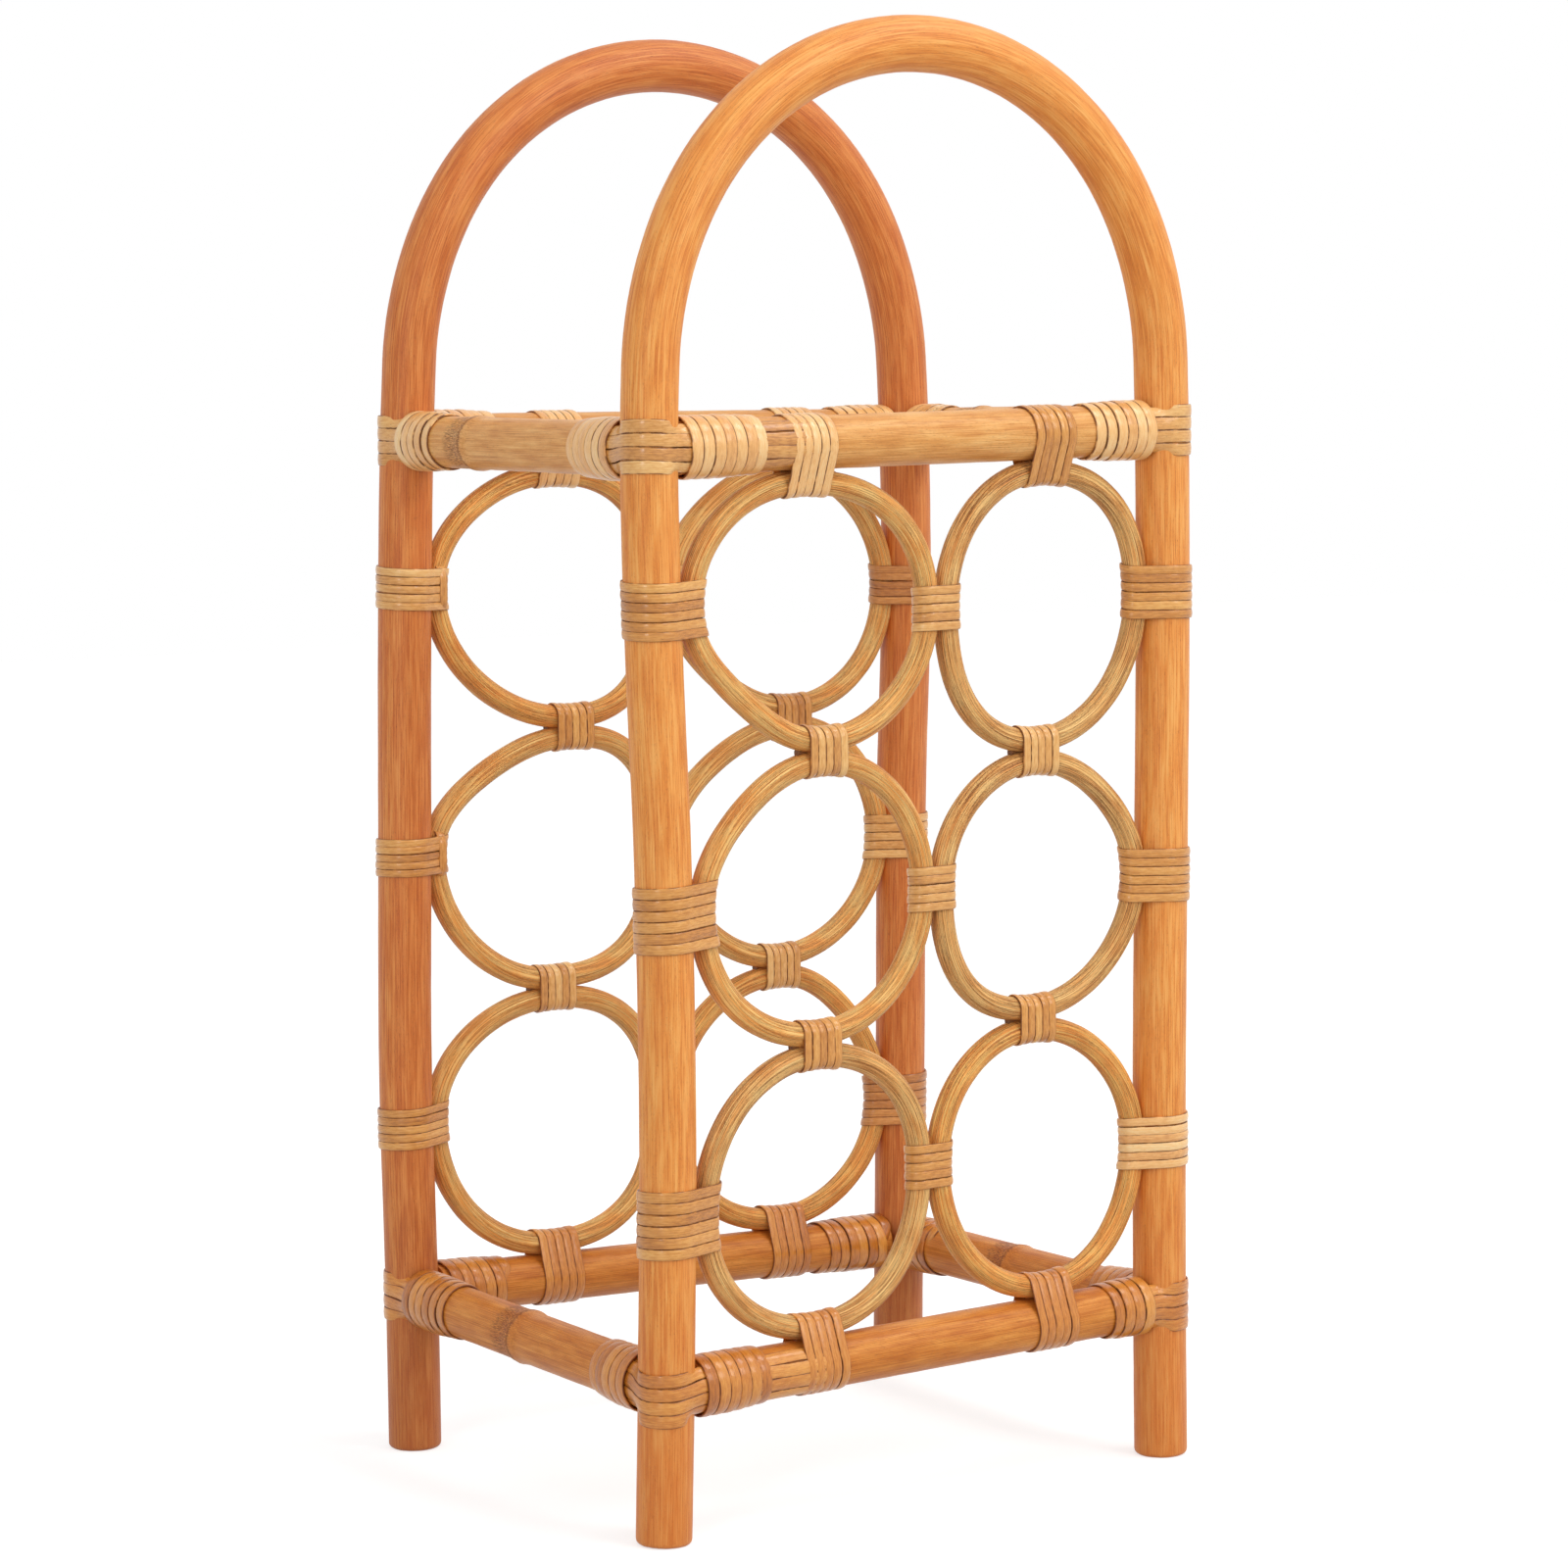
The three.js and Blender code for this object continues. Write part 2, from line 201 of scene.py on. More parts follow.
pole_radius = pole_thickness / 2
arch_low, arch_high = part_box("arch_pole_front")
leg_place = (arch_high.x - arch_low.x) / 2 - pole_radius
spring_height = arch_high.z - pole_radius - leg_place
sides = {"left": -1, "right": 1}
panel_places = {panel: middle_of(f"arch_pole_{panel}").y for panel in ("front", "back")}


class Term:
    """A number that a node tree works out. Terms add, subtract, multiply, divide, take powers and lose
    their sign as numbers do, so a formula in a tree reads as it would on paper."""

    def __init__(self, tree, socket):
        self.tree = tree
        self.socket = getattr(socket, "socket", socket)

    def work(self, operation, *others):
        numbers = dict(enumerate((self, *others)))
        return Term(self.tree, made(self.tree, "ShaderNodeMath", numbers, operation=operation))

    def __add__(self, other):
        return self.work("ADD", other)

    def __mul__(self, other):
        return self.work("MULTIPLY", other)

    def __sub__(self, other):
        return self.work("SUBTRACT", other)

    def __rsub__(self, other):
        return self.work("MULTIPLY_ADD", -1.0, other)

    def __truediv__(self, other):
        return self.work("DIVIDE", other)

    def __pow__(self, other):
        return self.work("POWER", other)

    def __abs__(self):
        return self.work("ABSOLUTE")

    __radd__ = __add__
    __rmul__ = __mul__

    def ease(self, low, high):
        """From 0 to 1 as this goes from low to high, with soft ends."""
        return Term(self.tree, made(self.tree, "ShaderNodeMapRange", {
            "Value": self, "From Min": low, "From Max": high,
        }, interpolation_type="SMOOTHSTEP"))

    def to(self, other, share):
        """This, blended towards the other by a share from 0 to 1."""
        return self + (other - self) * share

    def limit(self, most):
        """This, but no more than the most."""
        return self.work("MINIMUM", most)


def point(tree, x, y, z):
    """A vector made of three terms."""
    return made(tree, "ShaderNodeCombineXYZ", {"X": x, "Y": y, "Z": z})


def start_tree(name, inputs):
    """A geometry tree with named inputs, listed by their kind. Numbers come back as terms."""
    tree = bpy.data.node_groups.new(name, "GeometryNodeTree")
    kinds = {label: kind for kind, labels in inputs.items() for label in labels}
    for label, kind in kinds.items():
        tree.interface.new_socket(label, in_out="INPUT", socket_type=f"NodeSocket{kind}")
    tree.interface.new_socket("Mesh", in_out="OUTPUT", socket_type="NodeSocketGeometry")
    sockets = add_node(tree, "NodeGroupInput").outputs
    numbers = ("Float", "Int")
    return tree, {
        label: Term(tree, sockets[label]) if kind in numbers else sockets[label]
        for label, kind in kinds.items()
    }


def end_tree(tree, mesh, finish):
    """Closes a tree: the result is real geometry, smooth and with its finish."""
    smooth = made(tree, "GeometryNodeSetShadeSmooth", {"Geometry": mesh})
    real = made(tree, "GeometryNodeRealizeInstances", {"Geometry": smooth})
    done = made(tree, "GeometryNodeSetMaterial", {"Geometry": real, "Material": finish})
    add_node(tree, "NodeGroupOutput", {"Mesh": done})
    return tree


def store(tree, mesh, name, value, kind="FLOAT_VECTOR"):
    """Keeps a value on each point of a mesh, for the finishes to read."""
    return made(tree, "GeometryNodeStoreNamedAttribute", {
        "Geometry": mesh, "Name": name, "Value": value,
    }, data_type=kind, domain="POINT")


def capture(tree, geometry, kind, field):
    """Fixes a field on the points that it is first worked out on."""
    node = add_node(tree, "GeometryNodeCaptureAttribute", {"Geometry": geometry})
    node.capture_items.new(kind, "Kept")
    link(tree, field, node.inputs["Kept"])
    return node.outputs["Geometry"], node.outputs["Kept"]


def noise(tree, vector, **settings):
    """A noise from 0 to 1, most of it near the middle."""
    return Term(tree, made(tree, "ShaderNodeTexNoise", {"Vector": vector, **settings}))


def spots(tree, grain, across, along, shift=0.0, **settings):
    """A noise stretched along the grain. About five of its spots fit into each width across the grain
    and into each length along it. Another shift gives another pattern."""
    vector = made(tree, "ShaderNodeVectorMath", {
        0: grain, 1: (1 / across, 1 / across, 1 / along), 2: (shift, shift, shift),
    }, operation="MULTIPLY_ADD")
    return noise(tree, vector, **settings)


def round_pole_tree():
    """A round pole along a line. The attribute grain holds each point's place in the straightened
    pole: x and y across it, z along it."""
    tree, given = start_tree("round_pole", {
        "Geometry": ["Line"], "Int": ["Sides"], "Float": ["Unevenness"], "Material": ["Finish"],
    })
    thickness = add_node(
        tree, "GeometryNodeInputNamedAttribute", {"Name": "thickness"}, data_type="FLOAT",
    ).outputs["Attribute"]
    line = made(tree, "GeometryNodeMeshToCurve", {"Mesh": given["Line"]})
    line, radius = capture(tree, line, "FLOAT", Term(tree, thickness) / 2)
    length = add_node(tree, "GeometryNodeSplineParameter").outputs["Length"]
    line, along = capture(tree, line, "FLOAT", length)
    section = made(tree, "GeometryNodeCurvePrimitiveCircle", {
        "Resolution": given["Sides"], "Radius": 1.0,
    })
    section, across = capture(tree, section, "VECTOR", made(tree, "GeometryNodeInputPosition"))
    skin = made(tree, "GeometryNodeCurveToMesh", {
        "Curve": line, "Profile Curve": section, "Scale": radius, "Fill Caps": True,
    })
    split = add_node(tree, "ShaderNodeSeparateXYZ", {"Vector": across}).outputs
    radius, along = Term(tree, radius), Term(tree, along)
    grain = point(tree, radius * split["X"], radius * split["Y"], along)
    swell = spots(tree, grain, 0.012, 0.05, Detail=1.0) - 0.5
    offset = made(tree, "ShaderNodeVectorMath", {
        "Vector": made(tree, "GeometryNodeInputNormal"), "Scale": swell * 2 * given["Unevenness"],
    }, operation="SCALE")
    skin = store(tree, skin, "grain", grain)
    skin = made(tree, "GeometryNodeSetPosition", {"Geometry": skin, "Offset": offset})
    return end_tree(tree, skin, given["Finish"])


def grow(tree, name, body_line=((), (), ()), **sizes):
    """Runs a tree, on a line of points and thicknesses if it needs one, and keeps the result as a
    plain mesh. Sizes are the tree's inputs, with their spaces as underscores."""
    points, edges, thicknesses = body_line
    line = bpy.data.meshes.new(name)
    line.from_pydata(points, edges, [])
    line.attributes.new("thickness", "FLOAT", "POINT").data.foreach_set("value", thicknesses)
    maker = bpy.data.objects.new(f"{name}_line", line)
    bpy.context.scene.collection.objects.link(maker)
    modifier = maker.modifiers.new("tree", "NODES")
    modifier.node_group = tree
    for item in tree.interface.items_tree:
        size = item.name.replace(" ", "_").lower()
        if item.in_out == "INPUT" and size in sizes:
            modifier[item.identifier] = sizes[size]
    shaped = maker.evaluated_get(bpy.context.evaluated_depsgraph_get())
    mesh = bpy.data.meshes.new_from_object(shaped)
    bpy.data.objects.remove(maker)
    bpy.data.meshes.remove(line)
    mesh.name = name
    piece = bpy.data.objects.new(name, mesh)
    bpy.context.scene.collection.objects.link(piece)
    return piece


def finish_piece(piece, slot, *nodes):
    """The piece rides on the rack and stands for its CAD nodes. Its slot is not used."""
    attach(piece, "root")
    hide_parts(*nodes)


def round_piece(name, line, sides, finish, slot, *nodes):
    """A round pole along a line of points and thicknesses, as a finished piece."""
    pole = grow(round_pole, name, line, sides=sides, unevenness=pole_unevenness, finish=finish)
    finish_piece(pole, slot, *nodes)


def colour(red, green, blue):
    """A colour given in the usual 0 to 255, as the shader wants it."""
    shares = [part / 255 for part in (red, green, blue)]
    return (*(s / 12.92 if s <= 0.04045 else ((s + 0.055) / 1.055) ** 2.4 for s in shares), 1.0)


class Finish:
    """A finish in the making: its node tree, its colour so far, and the grain of whatever wears it."""

    def __init__(self, name, shift):
        self.material = bpy.data.materials.new(name)
        self.material.use_nodes = True
        self.tree = self.material.node_tree
        self.tree.nodes.clear()
        self.grain = self.kept("grain", "Vector")
        self.shift = shift
        self.colour = None

    def kept(self, name, kind):
        """What the points of the piece keep under a name."""
        return add_node(self.tree, "ShaderNodeAttribute", attribute_name=name).outputs[kind]

    def spots(self, across, along, shift=0, **settings):
        """A noise stretched along this finish's grain."""
        return spots(self.tree, self.grain, across, along, self.shift + shift, **settings)

    def number(self, name):
        """A number that the points of the piece keep."""
        return Term(self.tree, self.kept(name, "Fac"))

    def along(self):
        """How far along the grain a point is."""
        split = add_node(self.tree, "ShaderNodeSeparateXYZ", {"Vector": self.grain})
        return Term(self.tree, split.outputs["Z"])

    def tone(self, factor, dark, middle, pale, middle_at=0.5):
        """Sets the colour from a dark, a middle and a pale tone, by a factor from 0 to 1."""
        node = add_node(self.tree, "ShaderNodeValToRGB", {"Fac": factor})
        stops = node.color_ramp.elements
        stops.new(middle_at)
        for stop, place, shade in zip(stops, (0.0, middle_at, 1.0), (dark, middle, pale)):
            stop.position = place
            stop.color = colour(*shade)
        self.colour = node.outputs["Color"]

    def tint(self, shade, share):
        """Blends the colour towards a shade by a share from 0 to 1."""
        node = add_node(self.tree, "ShaderNodeMix", {
            "Factor": share, 6: self.colour, 7: colour(*shade),
        }, data_type="RGBA")
        self.colour = node.outputs[2]

    def close(self, roughness, height, depth, coat, coat_roughness, specular):
        """Joins colour, gloss and relief to the surface. Depth is the relief's height in metres."""
        relief = made(self.tree, "ShaderNodeBump", {"Height": height, "Distance": depth})
        surface = made(self.tree, "ShaderNodeBsdfPrincipled", {
            "Base Color": self.colour, "Roughness": roughness, "Normal": relief,
            "Coat Weight": coat, "Coat Roughness": coat_roughness, "Specular IOR Level": specular,
        })
        add_node(self.tree, "ShaderNodeOutputMaterial", {"Surface": surface})
        return self.material


def scraped_rattan(name, dark, middle, pale, pore, foot, length, shift):
    """The skin of a scraped and lacquered rattan pole: long fine lines, short pores and few specks. It
    is painted browner towards both feet, as painted shade near the floor."""
    finish = Finish(name, shift)
    patches = finish.spots(0.014, 0.09, Detail=2.0)
    bands = finish.spots(0.003, 0.14, Detail=1.0)
    lines = finish.spots(0.0008, 0.11, Detail=2.0, Roughness=0.6)
    threads = finish.spots(0.0004, 0.03, Detail=1.0)
    pores = finish.spots(0.00045, 0.007, 7, Detail=1.0)
    specks = finish.spots(0.0015, 0.0025, 3, Detail=1.0)
    mixed = patches * 0.22 + bands * 0.2 + lines * 0.38 + threads * 0.2
    finish.tone(mixed.ease(0.38, 0.62), dark, middle, pale)
    in_line = lines.ease(0.4, 0.3) * 0.5
    in_pore = pores.ease(0.6, 0.7) * bands.ease(0.62, 0.4) * 0.75
    finish.tint(pore, (in_line + in_pore).limit(0.85))
    in_speck = specks.ease(0.8, 0.83)
    finish.tint((52, 28, 14), in_speck)
    # Painted shade near the floor: within about 15 cm of each foot the colour is blended towards the browner
    # foot colour.
    along = finish.along()
    to_foot = along.limit(length - along) + (patches - 0.5) * 0.08
    finish.tint(foot, to_foot.ease(0.15, 0.02) * 0.4)
    roughness = 0.42 + 0.16 * (1 - threads)
    height = threads * 0.4 + lines * 0.6 - in_pore * 0.7 - in_speck * 1.5
    return finish.close(roughness, height, 0.00006, coat=0.15, coat_roughness=0.5, specular=0.4)


def line_through(points, closed=False):
    """Edges that join points in a row, and the last to the first where the line is closed."""
    edges = [(k, k + 1) for k in range(len(points) - 1)]
    return edges + [(len(points) - 1, 0)] if closed else edges


def foot_thickness(height):
    """Thickness of a leg at a height over the floor, rounded off at the foot."""
    if height >= foot_rounding:
        return pole_thickness
    missing = foot_rounding - height
    return pole_thickness - 2 * (foot_rounding - math.sqrt(foot_rounding ** 2 - missing ** 2))


def bow(panel, side, height):
    """How far to the right half an arch has bowed at a height, on a soft curve through its bows."""
    bows = leg_bows[panel, side]
    last = len(bows) - 1
    height = min(max(height * 1000, bow_heights[0]), bow_heights[last])
    low = max(k for k in range(last) if bow_heights[k] <= height)
    slopes = []
    for k in (low, low + 1):
        before, after = max(k - 1, 0), min(k + 1, last)
        slopes.append((bows[after] - bows[before]) / (bow_heights[after] - bow_heights[before]))
    step = bow_heights[low + 1] - bow_heights[low]
    share = (height - bow_heights[low]) / step
    rest = 1 - share
    bowed = bows[low] * (1 + 2 * share) * rest ** 2 + bows[low + 1] * (3 - 2 * share) * share ** 2
    return (bowed + step * share * rest * (slopes[0] * rest - slopes[1] * share)) / 1000


def leg_axis(panel, side, height):
    """The middle of a leg at a height over the floor."""
    return Vector((sides[side] * leg_place + bow(panel, side, height), panel_places[panel], height))


def arch_line(panel):
    """A leg, a half circle and a leg, with close stations at the feet."""
    heights = [foot_rounding * share for share in (0.0, 0.1, 0.3, 0.6, 1.0)]
    while heights[-1] < spring_height - leg_station:
        heights.append(heights[-1] + leg_station)
    points = [leg_axis(panel, "left", height) for height in heights]
    for k in range(bend_stations + 1):
        angle = math.pi * (1 - k / bend_stations)
        side = "left" if 2 * k < bend_stations else "right"
        height = spring_height + leg_place * math.sin(angle)
        sideways = leg_place * math.cos(angle) + bow(panel, side, height)
        points.append(Vector((sideways, panel_places[panel], height)))
    points += [leg_axis(panel, "right", height) for height in reversed(heights)]
    return points, line_through(points), [foot_thickness(place.z) for place in points]


round_pole = round_pole_tree()
arch_length = 2 * spring_height + math.pi * leg_place
arch_finishes = {
    "front": scraped_rattan(
        "golden_pole", (218, 124, 44), (240, 152, 64), (250, 182, 98), (170, 84, 28), (198, 94, 22),
        arch_length, 0.0,
    ),
    "back": scraped_rattan(
        "amber_pole", (194, 98, 34), (214, 120, 48), (232, 152, 78), (138, 62, 22), (146, 72, 28),
        arch_length, 20.0,
    ),
}
for panel in panel_places:
    round_piece(
        f"arch_{panel}", arch_line(panel), pole_sides, arch_finishes[panel],
        "pole", f"arch_pole_{panel}",
    )


# Rails: straight rattan poles about 20 mm thick, sawn square and nailed between the legs. Each side
# rail keeps one grown node, a low ridge with the torn brown fibres of the leaf sheath behind it.
rail_thickness = 0.02
node_swell = 0.0007
node_width = 0.003
sheath_length = 0.015
rail_station = 0.0025
rail_sides = 40
node_from_back = {"top": 0.059, "bottom": 0.087}
# How far each end of a rail sits above its true height, in millimetres: the left and right ends of a
# panel rail, and the front and back ends of a side rail.
rail_rises = {
    "bottom": {"front": (-3.0, 1.6), "back": (2.6, -3.8), "left": (-1.9, 2.4), "right": (-0.8, -3.8)},
    "top": {"front": (-1.8, 1.4), "back": (-2.4, -3.5), "left": (-2.2, -2.7), "right": (1.0, -3.5)},
}


def node_rattan(name, dark, middle, pale, pore, node_place, shift):
    """A rail's skin: paler and smoother than the arches, with a torn brown sheath behind its node."""
    finish = Finish(name, shift)
    patches = finish.spots(0.02, 0.08, Detail=2.0)
    lines = finish.spots(0.0011, 0.2, Detail=2.0, Roughness=0.6)
    threads = finish.spots(0.0004, 0.06, Detail=1.0)
    pores = finish.spots(0.00045, 0.008, 7, Detail=1.0)
    ragged = finish.spots(0.0016, 0.02, 11, Detail=3.0)
    specks = finish.spots(0.0016, 0.0024, 3, Detail=1.0)
    mixed = patches * 0.3 + lines * 0.42 + threads * 0.28
    finish.tone(mixed.ease(0.36, 0.64), dark, middle, pale)
    in_pore = (pores.ease(0.62, 0.72) * 0.6 + lines.ease(0.38, 0.28) * 0.4).limit(0.7)
    finish.tint(pore, in_pore)
    finish.tint((60, 34, 18), specks.ease(0.79, 0.82))
    behind = finish.along() - node_place + (ragged - 0.5) * 0.004
    ring = abs(behind).ease(0.0011, 0.0003)
    sheath = behind.ease(-0.0004, 0.0004) * behind.ease(sheath_length, sheath_length * 0.6)
    fibres = finish.spots(0.0011, 0.012, 17, Detail=1.0).ease(0.46, 0.58)
    torn = (ring * 0.6 + sheath * fibres * 0.75).limit(0.75)
    finish.tint((126, 68, 32), torn)
    roughness = 0.4 + 0.16 * (1 - threads) + torn * 0.2
    height = threads * 0.4 + lines * 0.5 - in_pore * 0.5 - torn * 1.2
    return finish.close(roughness, height, 0.0001, coat=0.2, coat_roughness=0.3, specular=0.25)


def rail_axis(level, rail):
    """Both ends of a rail's middle line, on the middles of the two legs that it joins."""
    rises = [rail_heights[level] + rise / 1000 for rise in rail_rises[level][rail]]
    if rail in panel_places:
        return leg_axis(rail, "left", rises[0]), leg_axis(rail, "right", rises[1])
    return leg_axis("front", rail, rises[0]), leg_axis("back", rail, rises[1])


def rail_line(level, rail, node_place):
    """A straight rail between its legs, with its thickness swollen at a node so far from its start."""
    start, end = rail_axis(level, rail)
    trim = (end - start).normalized() * rail_trim
    start, end = start + trim, end - trim
    length = (end - start).length
    count = round(length / rail_station)
    places = [length * k / count for k in range(count + 1)]
    points = [start.lerp(end, place / length) for place in places]
    thicknesses = [
        rail_thickness + 2 * node_swell * math.exp(-((place - node_place) / node_width) ** 2)
        for place in places
    ]
    return points, line_through(points), thicknesses


no_node = -1.0
rail_radius = rail_thickness / 2
rail_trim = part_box("rail_top_front")[0].x + leg_place
rail_heights = {level: middle_of(f"rail_{level}_front").z for level in ("bottom", "top")}
rail_tones = {
    "bottom": ((186, 100, 30), (212, 128, 46), (234, 158, 72), (130, 68, 24)),
    "top": ((206, 134, 64), (230, 162, 86), (246, 192, 120), (138, 80, 36)),
}
for level in rail_heights:
    plain = node_rattan(f"rail_{level}_skin", *rail_tones[level], no_node, 31.0)
    for panel in panel_places:
        round_piece(
            f"panel_rail_{level}_{panel}", rail_line(level, panel, no_node), rail_sides, plain,
            "rail", f"rail_{level}_{panel}",
        )
    for side in sides:
        start, end = rail_axis(level, side)
        node_place = (end - start).length - rail_trim - node_from_back[level]
        noded = node_rattan(f"rail_{level}_{side}_skin", *rail_tones[level], node_place, 47.0)
        round_piece(
            f"side_rail_{level}_{side}", rail_line(level, side, node_place), rail_sides, noded,
            "rail", f"rail_{level}_{side}",
        )


# Bottle rings: twelve hoops of peeled core cane, about 9.2 mm thick, with coarse ribs and brown pores
# between them. Each is bent by hand, so it is true only where it touches a leg, a rail or a ring.
ring_cane = 0.0092
quarter_stations = 30
ring_sides = 28
# How far the joints sit from their true places, in millimetres. A leg joint only slides up the leg, a
# rail joint only along the rail, and the others go to the right and up.
leg_slides = {
    ("front", "left"): {"top": 4.8, "middle": 0.4, "bottom": -4.4},
    ("front", "right"): {"top": 3.2, "middle": 0.2, "bottom": 2.4},
    ("back", "left"): {"top": 3.6, "middle": 6.0, "bottom": 6.0},
    ("back", "right"): {"top": -2.8, "middle": -1.2, "bottom": -6.4},
}
pair_shifts = {
    "front": {"top": (6.5, 1.0), "middle": (4.5, 2.6), "bottom": (3.0, 4.2)},
    "back": {"top": (0.0, 0.5), "middle": (0.0, 3.5), "bottom": (0.0, 1.0)},
}
stack_shifts = {
    ("front", "left"): {"upper": (7.4, 3.2), "lower": (4.4, 1.0)},
    ("front", "right"): {"upper": (-0.6, -2.2), "lower": (-1.6, 1.8)},
    ("back", "left"): {"upper": (8.9, -0.7), "lower": (-0.3, 1.4)},
    ("back", "right"): {"upper": (9.0, -2.2), "lower": (3.0, 1.0)},
}
rail_slides = {
    ("front", "left"): {"top": -1.5, "bottom": 3.0},
    ("front", "right"): {"top": 2.4, "bottom": 4.9},
    ("back", "left"): {"top": 2.0, "bottom": -1.1},
    ("back", "right"): {"top": 8.5, "bottom": 3.6},
}
# How far each quarter of a hoop bulges beyond its curve, in millimetres, clockwise from the upper left.
hoop_bulges = {
    ("front", "left"): {
        "top": (0, 1.7, -0.5, -5), "middle": (-2.5, 0, 0, 0.5), "bottom": (0, 1, 1.5, 0.5),
    },
    ("front", "right"): {
        "top": (0, 1.8, 0, 2), "middle": (-0.5, -1.6, -0.8, 2.8), "bottom": (0, -0.4, 0.3, 0.4),
    },
    ("back", "left"): {
        "top": (-0.8, 2.3, 3.6, -0.8), "middle": (-3, 3.2, 4.3, -0.8), "bottom": (0, 2.4, 3, 0.2),
    },
    ("back", "right"): {
        "top": (-1.8, -0.5, 0.3, -2.6), "middle": (-2.5, -0.3, -0.4, -0.2), "bottom": (0, -2, -0.4, 1.5),
    },
}

ring_place = -middle_of("bottle_ring_front_left_top").x
rows = {row: middle_of(f"bottle_ring_front_left_{row}").z for row in ("bottom", "middle", "top")}
# The rows that the joints between the rings of a stack lie between, the lower one first.
ring_joints = {"lower": ("bottom", "middle"), "upper": ("middle", "top")}
# The room between a ring and its neighbours. Below 0 a nail has drawn the ring into the other piece.
leg_gaps = {
    ("front", "left"): 0.0008, ("front", "right"): -0.0015,
    ("back", "left"): -0.0022, ("back", "right"): -0.0027,
}
pair_gap = -0.0005
row_gap = -0.0013
rail_gap = -0.0002


def peeled_core(name, dark, middle, pale, groove, shift):
    """Peeled rattan core: ribs along the cane, fine straight grooves and short brown pores in them."""
    finish = Finish(name, shift)
    patches = finish.spots(0.02, 0.06, Detail=1.0)
    ribs = finish.spots(0.0013, 0.2, Detail=0.0)
    lines = finish.spots(0.00055, 0.12, 5, Detail=1.0, Roughness=0.4)
    dashes = finish.spots(0.00045, 0.008, 9, Detail=1.0)
    mixed = patches * 0.25 + ribs * 0.35 + lines * 0.4
    finish.tone(mixed.ease(0.36, 0.62), dark, middle, pale)
    in_groove = lines.ease(0.45, 0.36) * 0.65
    in_dash = dashes.ease(0.54, 0.64) * lines.ease(0.54, 0.44) * 0.85
    finish.tint(groove, (in_groove + in_dash).limit(0.85))
    roughness = 0.46 + 0.16 * (1 - lines)
    height = ribs * 0.8 + lines * 0.5 - in_groove * 0.4 - in_dash * 0.4
    return finish.close(roughness, height, 0.00028, coat=0.08, coat_roughness=0.3, specular=0.4)


def rail_joint(panel, side, level):
    """The middle of the space between a rail and the ring under or over it."""
    left, right = rail_axis(level, panel)
    sideways = sides[side] * ring_place + rail_slides[panel, side][level] / 1000
    middle = left.lerp(right, (sideways - left.x) / (right.x - left.x))
    reach = rail_radius + rail_gap / 2
    return middle + Vector((0, 0, reach if level == "bottom" else -reach))


leg_joints, pair_joints, stack_joints = {}, {}, {}
for panel, depth in panel_places.items():
    for row, height in rows.items():
        shift = pair_shifts[panel][row]
        pair_joints[panel, row] = Vector((shift[0] / 1000, depth, height + shift[1] / 1000))
    for side, facing in sides.items():
        for row, height in rows.items():
            middle = leg_axis(panel, side, height + leg_slides[panel, side][row] / 1000)
            reach = facing * (pole_radius + leg_gaps[panel, side] / 2)
            leg_joints[panel, side, row] = middle - Vector((reach, 0, 0))
        for joint, (low_row, high_row) in ring_joints.items():
            shift = stack_shifts[panel, side][joint]
            stack_joints[panel, side, joint] = Vector((
                facing * ring_place + shift[0] / 1000, depth,
                (rows[low_row] + rows[high_row]) / 2 + shift[1] / 1000,
            ))
        for level in rail_heights:
            stack_joints[panel, side, level] = rail_joint(panel, side, level)


def hoop_ends(panel, side, row):
    """The points where a hoop's middle line passes its four joints, clockwise from the left."""
    joints = leg_joints[panel, side, row], pair_joints[panel, row]
    left, right = joints if side == "left" else reversed(joints)
    over, under = {
        "top": ("top", "upper"), "middle": ("upper", "lower"), "bottom": ("lower", "bottom"),
    }[row]
    half = ring_cane / 2
    gaps = {"top": rail_gap, "bottom": rail_gap, "upper": row_gap, "lower": row_gap}
    from_leg = leg_gaps[panel, side]
    from_left, from_right = (from_leg, pair_gap) if side == "left" else (pair_gap, from_leg)
    return (
        left + Vector((half + from_left / 2, 0, 0)),
        stack_joints[panel, side, over] - Vector((0, 0, half + gaps[over] / 2)),
        right - Vector((half + from_right / 2, 0, 0)),
        stack_joints[panel, side, under] + Vector((0, 0, half + gaps[under] / 2)),
    )


def ring_line(ends, bulges):
    """A hoop through its four ends: a quarter of an ellipse from each to the next, with a bulge."""
    points = []
    for k, bulge in enumerate(bulges):
        start, end = ends[k], ends[(k + 1) % 4]
        upright = k % 2 == 0
        centre = Vector((end.x if upright else start.x, start.y, start.z if upright else end.z))
        for step in range(quarter_stations):
            turn = math.pi / 2 * step / quarter_stations
            first, second = (start - centre) * math.cos(turn), (end - centre) * math.sin(turn)
            swell = bulge / 1000 * math.sin(2 * turn) ** 2
            points.append(centre + first + second + (first + second).normalized() * swell)
    return points, line_through(points, closed=True), [ring_cane] * len(points)


def ring_bend(ends, bulges, k):
    """One over the radius of a hoop at one of its ends, where a lashing grips it."""
    before, after = ends[k - 1], ends[(k + 1) % 4]
    reach = (ends[k] - (before + after) / 2).length
    bulge = (bulges[k - 1] + bulges[k]) / 2 / 1000
    return (reach - 8 * bulge) / ((after - before).length / 2) ** 2


